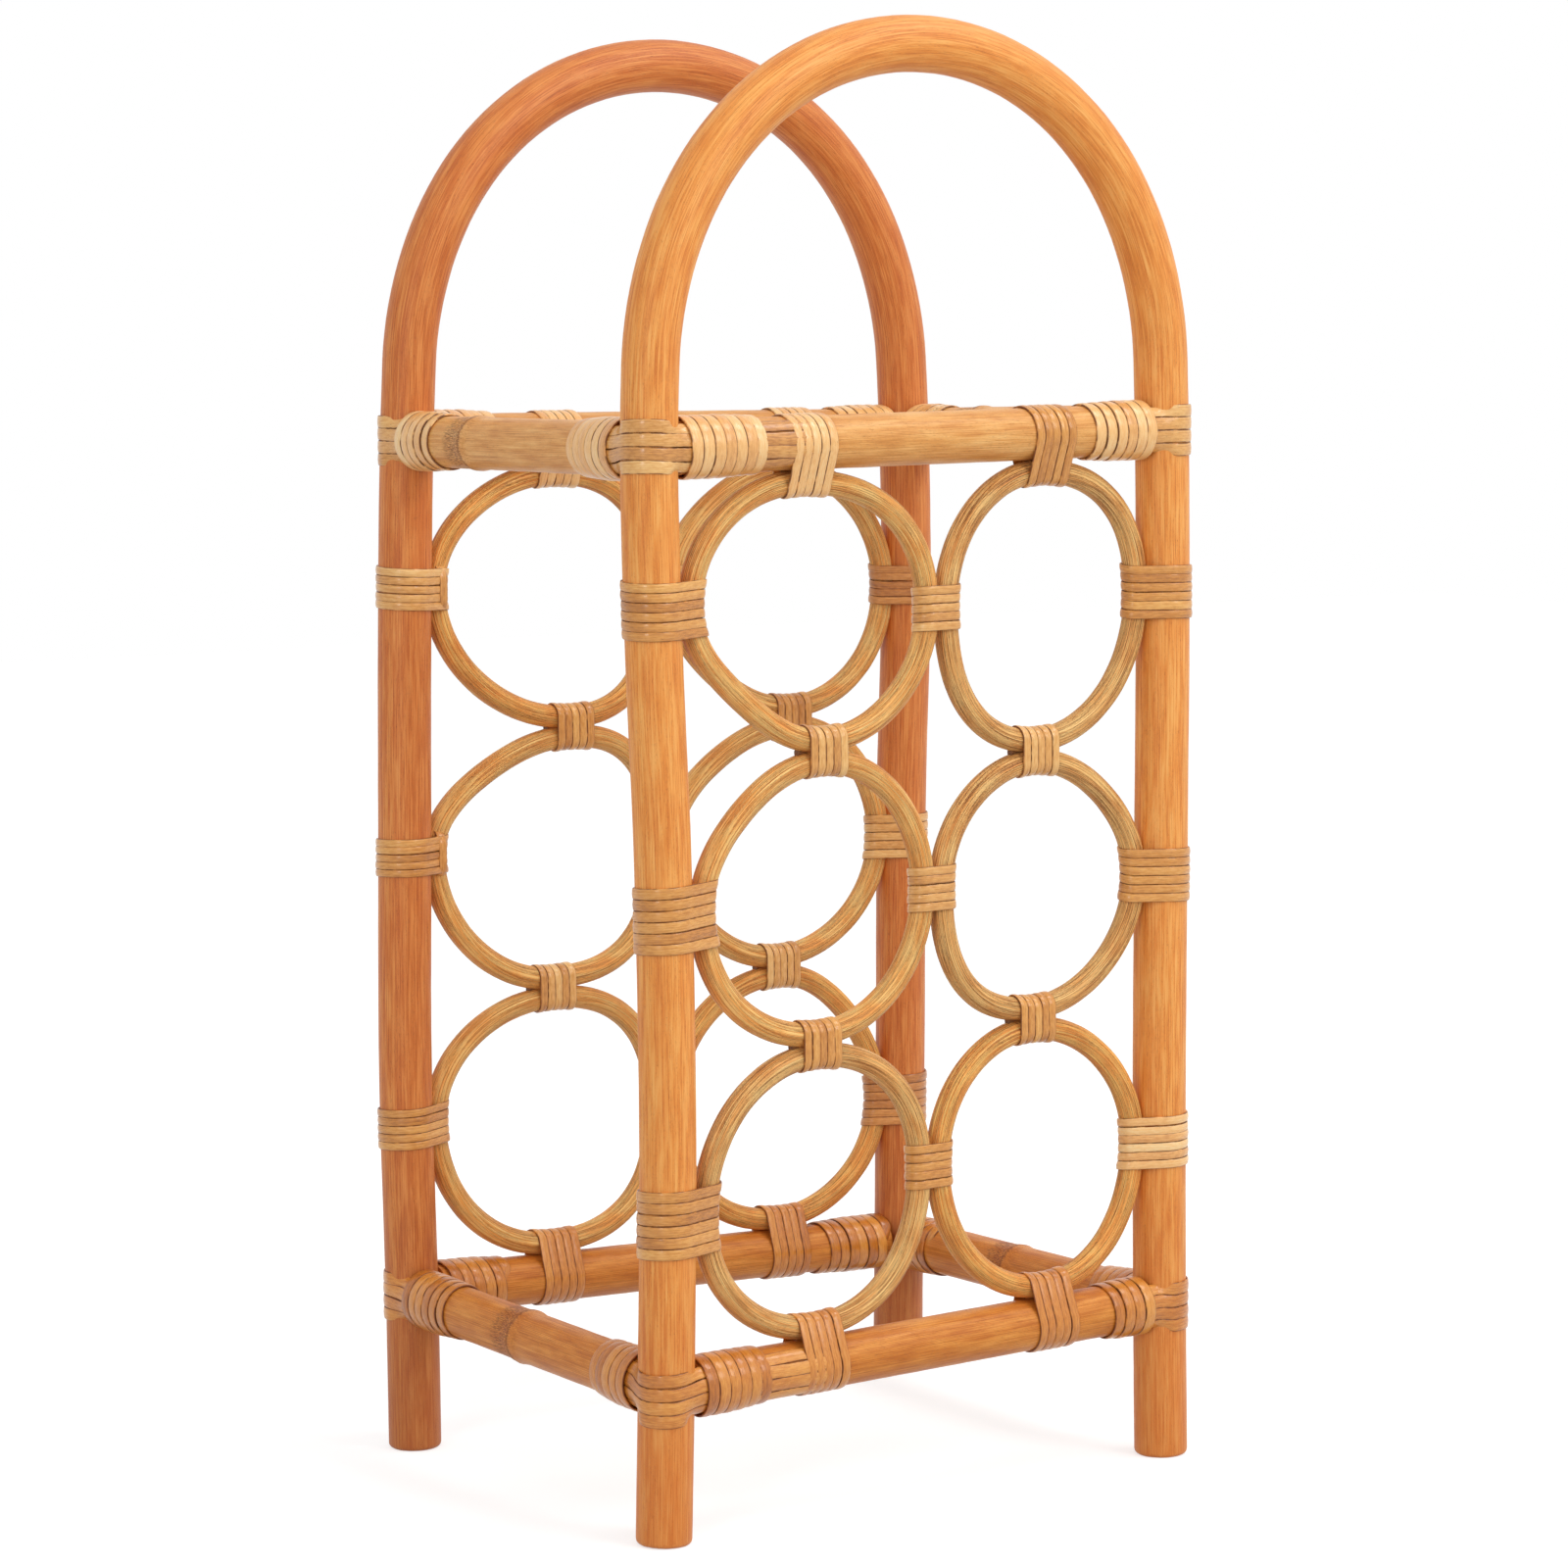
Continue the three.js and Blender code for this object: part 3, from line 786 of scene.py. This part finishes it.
core_tones = {
    "golden": ((238, 148, 66), (255, 178, 88), (255, 210, 130), (160, 90, 38), 60.0),
    "brown": ((212, 136, 64), (242, 170, 90), (254, 208, 132), (128, 72, 30), 70.0),
    "orange": ((232, 136, 56), (255, 168, 76), (255, 202, 114), (148, 80, 32), 80.0),
}
ring_finishes = {tone: peeled_core(f"{tone}_core", *row) for tone, row in core_tones.items()}
ring_tones = {
    ("front", "left"): {"top": "golden", "middle": "golden", "bottom": "brown"},
    ("front", "right"): {"top": "brown", "middle": "brown", "bottom": "orange"},
    ("back", "left"): {"top": "orange", "middle": "golden", "bottom": "golden"},
    ("back", "right"): {"top": "golden", "middle": "golden", "bottom": "orange"},
}
for (panel, side), row_tones in ring_tones.items():
    for row, tone in row_tones.items():
        line = ring_line(hoop_ends(panel, side, row), hoop_bulges[panel, side][row])
        round_piece(
            f"hoop_{panel}_{side}_{row}", line, ring_sides, ring_finishes[tone],
            "ring", f"bottle_ring_{panel}_{side}_{row}",
        )


# Joint lashings: one strip of flat cane, glossy side out, wound round a ring and the leg, rail or ring
# beside it, with both ends pulled in under the turns at the back.
cane_thickness = 0.001
cane_seat = 0.00005
cane_gap = 0.00004
steps_in_turn = 48
strip_corners = 16
# How much a strip's face is domed, and how round its section is: 1 is an ellipse and 0 a box.
strip_dome = 0.24
strip_round = 0.4
# At its ends a strip tapers off, sinks by a share of its thickness and slips under the turn beside it
# by a share of its pitch.
taper_length = 0.003
sink_start, sink_end = 0.004, 0.011
sink_share = 0.95
tuck_length = 0.009
tuck_share = 0.9
# How far the width and the pitch wander, as shares, and the height over the pole in metres.
width_wander = 0.2
pitch_wander = 0.3
height_wander = 0.0006
# A strip runs nearly level where it shows and steps on to its next turn on the far side.
level_share = 0.6
rail_pitch = 0.0038
row_pitch = 0.0034
pair_pitch = 0.0034
ring_turns = 5.0


def strip_grid(tree, steps):
    """A flat grid that becomes a strip, with its share of the way along and its angle round the
    strip's own section."""
    grid = made(tree, "GeometryNodeMeshGrid", {
        "Size X": 1.0, "Size Y": 1.0, "Vertices X": steps, "Vertices Y": strip_corners + 1,
    })
    spot = add_node(tree, "ShaderNodeSeparateXYZ", {
        "Vector": made(tree, "GeometryNodeInputPosition"),
    }).outputs
    return grid, Term(tree, spot["X"]) + 0.5, (Term(tree, spot["Y"]) + 0.5) * math.tau


def strip_section(section, width, thickness, to_end):
    """The strip's section, flat below and domed above, as an offset across the strip and a height over
    its seat. The third term is the offset as a share of the half width. The section shrinks to a
    point at the ends of the strip, which closes it."""
    taper = to_end.ease(0.0, taper_length)
    flat, crown = (
        abs(part) ** strip_round * part.work("SIGN")
        for part in (section.work("COSINE"), section.work("SINE"))
    )
    height = thickness * (0.5 + 0.5 * crown) * (1 - strip_dome * flat * flat) * taper
    return flat * width / 2 * taper, height, flat


def shape_strip(tree, grid, spot, offset, height, flat, along, tone):
    """Moves the grid into place and keeps what the finish of a strip reads."""
    strip = store(tree, grid, "grain", point(tree, offset, height, along))
    strip = store(tree, strip, "tone", tone, "FLOAT")
    strip = store(tree, strip, "edge", abs(flat), "FLOAT")
    strip = made(tree, "GeometryNodeSetPosition", {"Geometry": strip, "Position": spot})
    return made(tree, "GeometryNodeMergeByDistance", {"Geometry": strip, "Distance": 1e-6})


def wound_strip_tree():
    """A strip wound round two bars that lie side by side along z, near at -x and far at +x. A bend is
    one over the radius of a bar that curves away from the joint, as a ring does. Each end slips under
    the turn beside it. Grain is the place in the straightened strip: x across it, z along it, and
    tone wanders from 0 to 1 along it."""
    tree, given = start_tree("wound_strip", {
        "Float": [
            "Near Radius", "Far Radius", "Near Bend", "Far Bend", "Gap", "Turns", "Pitch", "Width",
            "Thickness", "Seat", "Lift", "Start", "Seed",
        ],
        "Vector": ["Place"], "Rotation": ["Turn"], "Material": ["Finish"],
    })
    grid, share, section = strip_grid(tree, (given["Turns"] * steps_in_turn).work("ROUND") + 1)
    turn = share * given["Turns"]
    angle = given["Start"] + turn * math.tau

    near, far = given["Near Radius"], given["Far Radius"]
    apart = (near + far + given["Gap"]).work("MAXIMUM", 1e-6)
    tangent = ((near - far) / apart).work("ARCCOSINE")
    wrapped = angle.work("WRAP", math.pi, -math.pi)
    from_far = abs(wrapped)
    on_far = from_far.work("LESS_THAN", tangent)
    straight = (apart * apart - (near - far) * (near - far)).work("SQRT")
    whole_turn = 2 * (tangent * far + (math.pi - tangent) * near + straight)
    past_far = wrapped.work("SIGN") * (tangent * far + straight + (from_far - tangent) * near)
    in_turn = past_far.to(wrapped * far, on_far)
    along = in_turn + ((angle + math.pi) / math.tau).work("FLOOR") * whole_turn

    def wander(rate, shift):
        track = point(tree, turn * rate + given["Seed"] * 7.3, shift, 0.0)
        return noise(tree, track, Scale=1.0, Detail=1.0)

    to_end = share.limit(1 - share) * given["Turns"] * whole_turn
    width = given["Width"] * (1 + width_wander * (wander(0.9, 4.0) - 0.5))
    offset, height, flat = strip_section(section, width, given["Thickness"], to_end)
    drift = (wander(0.8, 9.0) - 0.5) * given["Pitch"] * pitch_wander
    stepped = turn + (turn * math.tau).work("SINE") * (level_share / math.tau)
    tuck = (1 - to_end.ease(0.0, tuck_length)) * (0.5 - share).work("SIGN") * tuck_share
    z = (stepped + tuck - given["Turns"] / 2) * given["Pitch"] + drift + offset
    sink = (1 - to_end.ease(sink_start, sink_end)) * given["Thickness"] * sink_share
    outward = 0.4 + 0.6 * angle.work("COSINE").ease(-0.4, 0.5)
    raised = given["Lift"] * share.ease(1.0, 0.45) * outward
    reach = given["Seat"] + raised + height - sink + (wander(1.7, 15.0) - 0.5) * height_wander

    def place_of(radius, bend):
        return given["Gap"] / 2 + radius + bend * z * z / 2

    centre = (0 - place_of(near, given["Near Bend"])).to(place_of(far, given["Far Bend"]), on_far)
    radius = near.to(far, on_far) + reach
    spot = point(tree, centre + radius * angle.work("COSINE"), radius * angle.work("SINE"), z)
    strip = shape_strip(tree, grid, spot, offset, height, flat, along, wander(1.15, 21.0))
    # The winding turns the grid inside out, so its faces are flipped to point outwards.
    strip = made(tree, "GeometryNodeFlipFaces", {"Mesh": strip})
    strip = made(tree, "GeometryNodeTransform", {
        "Geometry": strip, "Translation": given["Place"], "Rotation": given["Turn"],
    })
    return end_tree(tree, strip, given["Finish"])


def flat_cane(name, dark, middle, pale, shift):
    """Flat cane with its glossy skin: pale straw to brown along one strip, with fine fibres."""
    finish = Finish(name, shift)
    tone, edge = finish.number("tone"), finish.number("edge")
    blotches = finish.spots(0.004, 0.014, Detail=2.0)
    fibres = finish.spots(0.0004, 0.06, Detail=2.0, Roughness=0.6)
    scars = finish.spots(0.0012, 0.007, 4, Detail=2.0)
    seams = finish.spots(0.05, 0.02, 8, Detail=2.0)
    mixed = tone.ease(0.28, 0.72) * 0.5 + blotches.ease(0.34, 0.66) * 0.18
    mixed = mixed + fibres.ease(0.38, 0.62) * 0.32
    finish.tone(mixed, dark, middle, pale, middle_at=0.45)
    stain = scars.ease(0.67, 0.76) * 0.6
    finish.tint((112, 64, 32), stain)
    # Painted shade in the seams between turns: the strip's edges are darkened to brown, at some seams more
    # than at others.
    seam_shade = edge.ease(0.82, 0.96) * seams.ease(0.32, 0.56) * 0.9
    finish.tint((112, 54, 16), seam_shade)
    roughness = 0.22 + 0.2 * fibres + stain * 0.2 + seam_shade * 0.3
    height = fibres * 0.8 - stain * 0.3
    return finish.close(roughness, height, 0.0001, coat=0.35, coat_roughness=0.14, specular=0.45)


wound_strip = wound_strip_tree()
cane_tones = {
    "straw": ((206, 134, 66), (248, 188, 114), (255, 224, 166), 100.0),
    "honey": ((170, 102, 42), (226, 160, 80), (252, 210, 140), 105.0),
    "amber": ((150, 80, 22), (208, 124, 38), (242, 174, 84), 108.0),
    "tan": ((148, 84, 28), (214, 140, 56), (250, 194, 110), 110.0),
    "brown": ((130, 70, 24), (196, 122, 50), (238, 172, 94), 120.0),
}
cane_finishes = {tone: flat_cane(f"{tone}_cane", *row) for tone, row in cane_tones.items()}


def way(across, hidden):
    """The turn of a lashing: across goes from its near bar to its far one, hidden to its ends."""
    x = Vector(across).normalized()
    z = x.cross(Vector(hidden)).normalized()
    return Matrix((x, z.cross(x), z)).transposed().to_euler()


def bind(name, near, far, gap, turns, pitch, place, across, finish, *nodes):
    """Winds a strip round two bars, each given as its radius and its bend. Across goes from the near
    one to the far one."""
    lashing = grow(
        wound_strip, name,
        near_radius=near[0], near_bend=near[1], far_radius=far[0], far_bend=far[1], gap=gap,
        turns=turns, pitch=pitch, width=abs(pitch) - cane_gap, thickness=cane_thickness,
        seat=cane_seat, start=math.pi / 2, seed=next(seeds), place=place,
        turn=way(across, backward), finish=cane_finishes[finish],
    )
    finish_piece(lashing, "cane", *nodes)


def ring_bar(panel, side, row, k):
    """The radius and the bend of a hoop at its left, upper, right or lower end: k from 0 to 3."""
    ends = hoop_ends(panel, side, row)
    return ring_cane / 2, ring_bend(ends, hoop_bulges[panel, side][row], k)


seeds = (float(k) for k in range(1, 100))
backward = Vector((0, 1, 0))
leg_bar, rail_bar = (pole_radius, 0.0), (rail_radius, 0.0)
# A leg's slope at a joint is measured so far below and above it.
slope_step = 0.002
# Turns of each leg lashing, its pitch in millimetres, less than 0 where it is wound downwards, and its
# finish.
leg_windings = {
    ("front", "left"): {"top": (6, -3.5, "tan"), "middle": (6, 4.1, "tan"), "bottom": (6, 4.2, "tan")},
    ("front", "right"): {"top": (6, -3.5, "tan"), "middle": (6, -3.5, "tan"), "bottom": (6, 3.4, "straw")},
    ("back", "left"): {"top": (5, -3.3, "honey"), "middle": (5, 3.0, "tan"), "bottom": (5, 3.3, "tan")},
    ("back", "right"): {"top": (5, -3.3, "brown"), "middle": (5, 3.7, "honey"), "bottom": (6, 3.6, "brown")},
}
stack_finishes = {
    ("front", "left"): {"top": "straw", "upper": "honey", "lower": "tan", "bottom": "amber"},
    ("front", "right"): {"top": "tan", "upper": "honey", "lower": "tan", "bottom": "amber"},
    ("back", "left"): {"top": "straw", "upper": "tan", "lower": "honey", "bottom": "amber"},
    ("back", "right"): {"top": "straw", "upper": "tan", "lower": "honey", "bottom": "amber"},
}
pair_finishes = {"top": "honey", "middle": "honey", "bottom": "tan"}
# Two lashings of the back left leg are drawn together by a band down their front, over the ring.
banded_rows = ("top", "middle")
band_end = (0.0062, 0.0)
band_gap = -0.0062
band_turns = 1.3
band_pitch = 0.0036
band_shift = Vector((0.0036, 0, 0))
for panel in panel_places:
    for side, facing in sides.items():
        place = f"{panel}_{side}"
        for row in rows:
            joint = leg_joints[panel, side, row]
            turns, pitch, finish = leg_windings[panel, side][row]
            low, high = (bow(panel, side, joint.z + step) for step in (-slope_step, slope_step))
            slope = (high - low) / (2 * slope_step)
            bind(
                f"leg_lashing_{place}_{row}", leg_bar, ring_bar(panel, side, row, 1 + facing),
                leg_gaps[panel, side], float(turns), pitch / 1000, joint, (-facing, 0, facing * slope),
                finish, f"lashing_leg_{place}_{row}",
            )
        for row in banded_rows if place == "back_left" else ():
            bind(
                f"leg_lashing_{place}_{row}_band", band_end, band_end, band_gap, band_turns, band_pitch,
                leg_joints[panel, side, row] + band_shift, (0, 0, 1), leg_windings[panel, side][row][2],
                f"lashing_leg_{place}_{row}",
            )
        for level in rail_heights:
            left, right = rail_axis(level, panel)
            slope = (right.z - left.z) / (right.x - left.x)
            upward = 1 if level == "bottom" else -1
            bind(
                f"stack_lashing_{place}_rail_{level}", rail_bar, ring_bar(panel, side, level, 2 + upward),
                rail_gap, ring_turns, rail_pitch, stack_joints[panel, side, level],
                (-slope * upward, 0, upward), stack_finishes[panel, side][level],
                f"lashing_rail_{level}_{place}",
            )
        for joint, (low_row, high_row) in ring_joints.items():
            bind(
                f"stack_lashing_{place}_rings_{joint}", ring_bar(panel, side, low_row, 1),
                ring_bar(panel, side, high_row, 3), row_gap, ring_turns, row_pitch,
                stack_joints[panel, side, joint], (0, 0, 1), stack_finishes[panel, side][joint],
                f"lashing_rings_{joint}_{place}",
            )
    carrier = "right" if panel == "front" else "left"
    for row in rows:
        bind(
            f"pair_lashing_{panel}_{row}", ring_bar(panel, "left", row, 2), ring_bar(panel, "right", row, 0),
            pair_gap, ring_turns, pair_pitch, pair_joints[panel, row], (1, 0, 0), pair_finishes[row],
            f"bottle_ring_{panel}_{carrier}_{row}",
        )


# Filler stubs: in the notch beside each ring to ring lashing a cut end of cane fills the space between
# the two rings, and its end shows on the left, painted dark brown as painted shade in the notch.
stub_reach = (0.003, 0.0115)
stub_thickness = (0.0012, 0.003)
stub_steps = 8
stub_sides = 16
stub_unevenness = 0.0004
stub_flare = 1.5
# The stub's colours are painted dark: painted shade in the notch between the rings.
stub_finish = peeled_core("dark_stub", (92, 56, 30), (132, 84, 46), (168, 112, 64), (60, 34, 18), 90.0)
for (panel, side, joint), middle in stack_joints.items():
    if joint in rail_heights:
        continue
    points, thicknesses = [], []
    for k in range(stub_steps + 1):
        share = k / stub_steps
        reach = stub_reach[0] + (stub_reach[1] - stub_reach[0]) * share
        points.append(middle + Vector((-reach, 0, 0)))
        flared = share ** stub_flare
        thicknesses.append(stub_thickness[0] + (stub_thickness[1] - stub_thickness[0]) * flared)
    stub = grow(
        round_pole, f"stub_{panel}_{side}_{joint}", (points, line_through(points), thicknesses),
        sides=stub_sides, unevenness=stub_unevenness, finish=stub_finish,
    )
    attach(stub, "root")


# Corner lashings: four straps of cane pass round the outside of a leg, from the front or back rail to
# the side rail, and a wrap of the same cane on the end of each rail holds the straps down.
corner_pitch = 0.0048
strap_count = 4
strap_pitch = 0.0049
strap_thickness = 0.0009
strap_steps = 96
wrap_from_leg = 0.0114
wrap_lift = 0.001
# How far past the leg a strap has come to lie on its rail, and where the browner or paler tone of
# its far end begins and is full. Its sag ends and is full so far from its middle.
lying_length = 0.009
shade_span = (0.032, 0.042)
sag_span = (0.022, 0.003)
# How far a strap wanders: its width as a share, and its level and its height over the pole in metres.
strap_wanders = {"width": 0.16, "level": 0.002, "height": 0.0003}
wander_length = 0.04
# What a strap needs to know of each of its rails: how far it reaches along it, the rail's height at the
# leg, and its slope.
strap_sizes = [f"{rail} {size}" for rail in ("First", "Second") for size in ("Reach", "Drop", "Rise")]
# Turns of the wraps on the panel rail and on the side rail, how far the straps run along each of them
# in metres, and how far the straps sag on their leg in millimetres.
corner_windings = {
    ("front", "left"): {"top": (7, 6, 0.068, 0.016, -1.2), "bottom": (6, 5, 0.068, 0.016, 2.4)},
    ("front", "right"): {"top": (6, 5, 0.016, 0.016, 0.0), "bottom": (4, 5, 0.016, 0.016, -0.6)},
    ("back", "left"): {"top": (5, 5, 0.016, 0.016, 0.0), "bottom": (6, 6, 0.016, 0.016, 0.0)},
    ("back", "right"): {"top": (6, 5, 0.016, 0.016, 0.0), "bottom": (7, 5, 0.016, 0.016, 0.6)},
}


def leg_strap_tree():
    """One strap round the outside of a leg that stands at the origin, from a rail along +x to a rail
    along +y. It stands upright on the leg and lies down on the round of the rails."""
    tree, given = start_tree("leg_strap", {
        "Float": [
            "Leg Radius", "Rail Radius", "Height", "Sag", *strap_sizes, "Width", "Thickness", "Seat",
            "Shade", "Seed",
        ],
        "Material": ["Finish"],
    })
    grid, share, section = strip_grid(tree, strap_steps + 1)
    half_bend = math.pi / 4
    bend = given["Leg Radius"] * half_bend
    length = 2 * bend + given["First Reach"] + given["Second Reach"]
    along = share * length - bend - given["First Reach"]
    turned = (along / given["Leg Radius"]).limit(half_bend).work("MAXIMUM", -half_bend)
    past = (abs(along) - bend).work("MAXIMUM", 0.0)
    on_second = along.work("GREATER_THAN", 0.0)

    def wander(rate, shift):
        track = point(tree, along * (rate / wander_length) + given["Seed"] * 5.1, shift, 0.0)
        return noise(tree, track, Scale=1.0, Detail=1.0)

    to_end = share.limit(1 - share) * length
    width = given["Width"] * (1 + strap_wanders["width"] * (wander(1.0, 12.0) - 0.5))
    offset, height, flat = strip_section(section, width, given["Thickness"], to_end)
    on_rail = past.ease(0.0, lying_length)
    sag = given["Sag"] * abs(along).ease(*sag_span)
    level = given["Height"] + offset - sag + (wander(1.2, 3.0) - 0.5) * strap_wanders["level"]
    height = height + given["Seat"] + (wander(1.5, 18.0) - 0.5) * strap_wanders["height"]
    lying = level / given["Rail Radius"]
    rail_reach = given["Rail Radius"] + height
    out = (given["Leg Radius"] + height).to(rail_reach * lying.work("COSINE"), on_rail)
    drop = given["First Drop"].to(given["Second Drop"], on_second)
    rise = given["First Rise"].to(given["Second Rise"], on_second)
    rail_level = rail_reach * lying.work("SINE") + drop + rise * past
    facing = 1.25 * math.pi - turned
    x = out * facing.work("COSINE") + past * (1 - on_second)
    y = out * facing.work("SINE") + past * on_second
    spot = point(tree, x, y, level.to(rail_level, on_rail))
    tone = wander(0.7, 8.0) + given["Shade"] * past.ease(*shade_span)
    strap = shape_strip(tree, grid, spot, offset, height, flat, along, tone)
    return end_tree(tree, strap, given["Finish"])


def corner_tree():
    """The straps and the two wraps of a corner. The wraps are given their own places and turns, and a
    turn of the straps sets them at their own leg."""
    tree, given = start_tree("corner_lashing", {
        "Float": ["First Turns", "Second Turns", *strap_sizes, "Sag", "Shade", "Seed"],
        "Vector": ["First Place", "Second Place", "Place"],
        "Rotation": ["First Way", "Second Way", "Turn"],
        "Material": ["Wrap Finish", "Strap Finish"],
    })
    wraps = add_node(tree, "GeometryNodeJoinGeometry")
    for rail, seed in (("First", 3.0), ("Second", 8.0)):
        wrap = add_node(tree, "GeometryNodeGroup", {
            "Near Radius": rail_radius, "Far Radius": rail_radius, "Gap": -rail_thickness,
            "Turns": given[f"{rail} Turns"], "Pitch": corner_pitch, "Width": corner_pitch - cane_gap,
            "Thickness": cane_thickness, "Seat": cane_seat, "Lift": wrap_lift, "Start": math.pi,
            "Seed": given["Seed"] + seed, "Place": given[f"{rail} Place"],
            "Turn": given[f"{rail} Way"], "Finish": given["Wrap Finish"],
        }, node_tree=wound_strip)
        tree.links.new(wrap.outputs[0], wraps.inputs[0])
    straps = add_node(tree, "GeometryNodeJoinGeometry")
    for k in range(strap_count):
        height = (k - (strap_count - 1) / 2) * strap_pitch
        strap = add_node(tree, "GeometryNodeGroup", {
            "Leg Radius": pole_radius, "Rail Radius": rail_radius, "Height": height,
            **{size: given[size] for size in ("Sag", "Shade", *strap_sizes)},
            "Width": strap_pitch - cane_gap, "Thickness": strap_thickness, "Seat": cane_seat,
            "Seed": given["Seed"] + k * 1.7, "Finish": given["Strap Finish"],
        }, node_tree=leg_strap)
        tree.links.new(strap.outputs[0], straps.inputs[0])
    placed = made(tree, "GeometryNodeTransform", {
        "Geometry": straps.outputs[0], "Translation": given["Place"], "Rotation": given["Turn"],
    })
    link(tree, placed, wraps.inputs[0])
    real = made(tree, "GeometryNodeRealizeInstances", {"Geometry": wraps.outputs[0]})
    add_node(tree, "NodeGroupOutput", {"Mesh": real})
    return tree


def rail_wrap(rail, near, far, turns):
    """Where a wrap sits on the near end of a rail, and its turn: its raised side faces out."""
    along = (far - near).normalized()
    outward = Vector((0, near.y, 0)) if rail in panel_places else Vector((near.x, 0, 0))
    outward = (outward - along * outward.dot(along)).normalized()
    place = near + along * (turns * corner_pitch / 2 + wrap_from_leg)
    return place, way(outward, along.cross(outward))


leg_strap = leg_strap_tree()
corner_lashing = corner_tree()
# The finishes of the wraps and the straps, and how much browner (below 0) or paler the straps' far
# ends are, beyond the wrap.
corner_looks = {"top": ("straw", "honey", -0.25), "bottom": ("amber", "amber", 0.2)}
corner_row = (("front", "left"), ("front", "right"), ("back", "right"), ("back", "left"))
for quarter, (panel, side) in enumerate(corner_row):
    for level in rail_heights:
        rails = {panel: rail_axis(level, panel), side: rail_axis(level, side)}
        if side == "right":
            rails[panel] = rails[panel][::-1]
        if panel == "back":
            rails[side] = rails[side][::-1]
        height = (rails[panel][0].z + rails[side][0].z) / 2
        *windings, sag = corner_windings[panel, side][level]
        order = ("first", "second") if quarter % 2 == 0 else ("second", "first")
        sizes = {}
        for label, rail, turns, reach in zip(order, rails, windings[:2], windings[2:]):
            near, far = rails[rail]
            place, turned = rail_wrap(rail, near, far, turns)
            sizes.update({
                f"{label}_turns": float(turns), f"{label}_place": place, f"{label}_way": turned,
                f"{label}_reach": reach, f"{label}_drop": near.z - height,
                f"{label}_rise": (far - near).normalized().z,
            })
        wraps, straps, shade = corner_looks[level]
        lashing = grow(
            corner_lashing, f"corner_{panel}_{side}_{level}", **sizes, sag=sag / 1000, shade=shade,
            seed=next(seeds), place=leg_axis(panel, side, height),
            turn=(0.0, 0.0, quarter * math.pi / 2),
            wrap_finish=cane_finishes[wraps], strap_finish=cane_finishes[straps],
        )
        finish_piece(lashing, "cane", f"corner_lashing_{panel}_{side}_{level}")
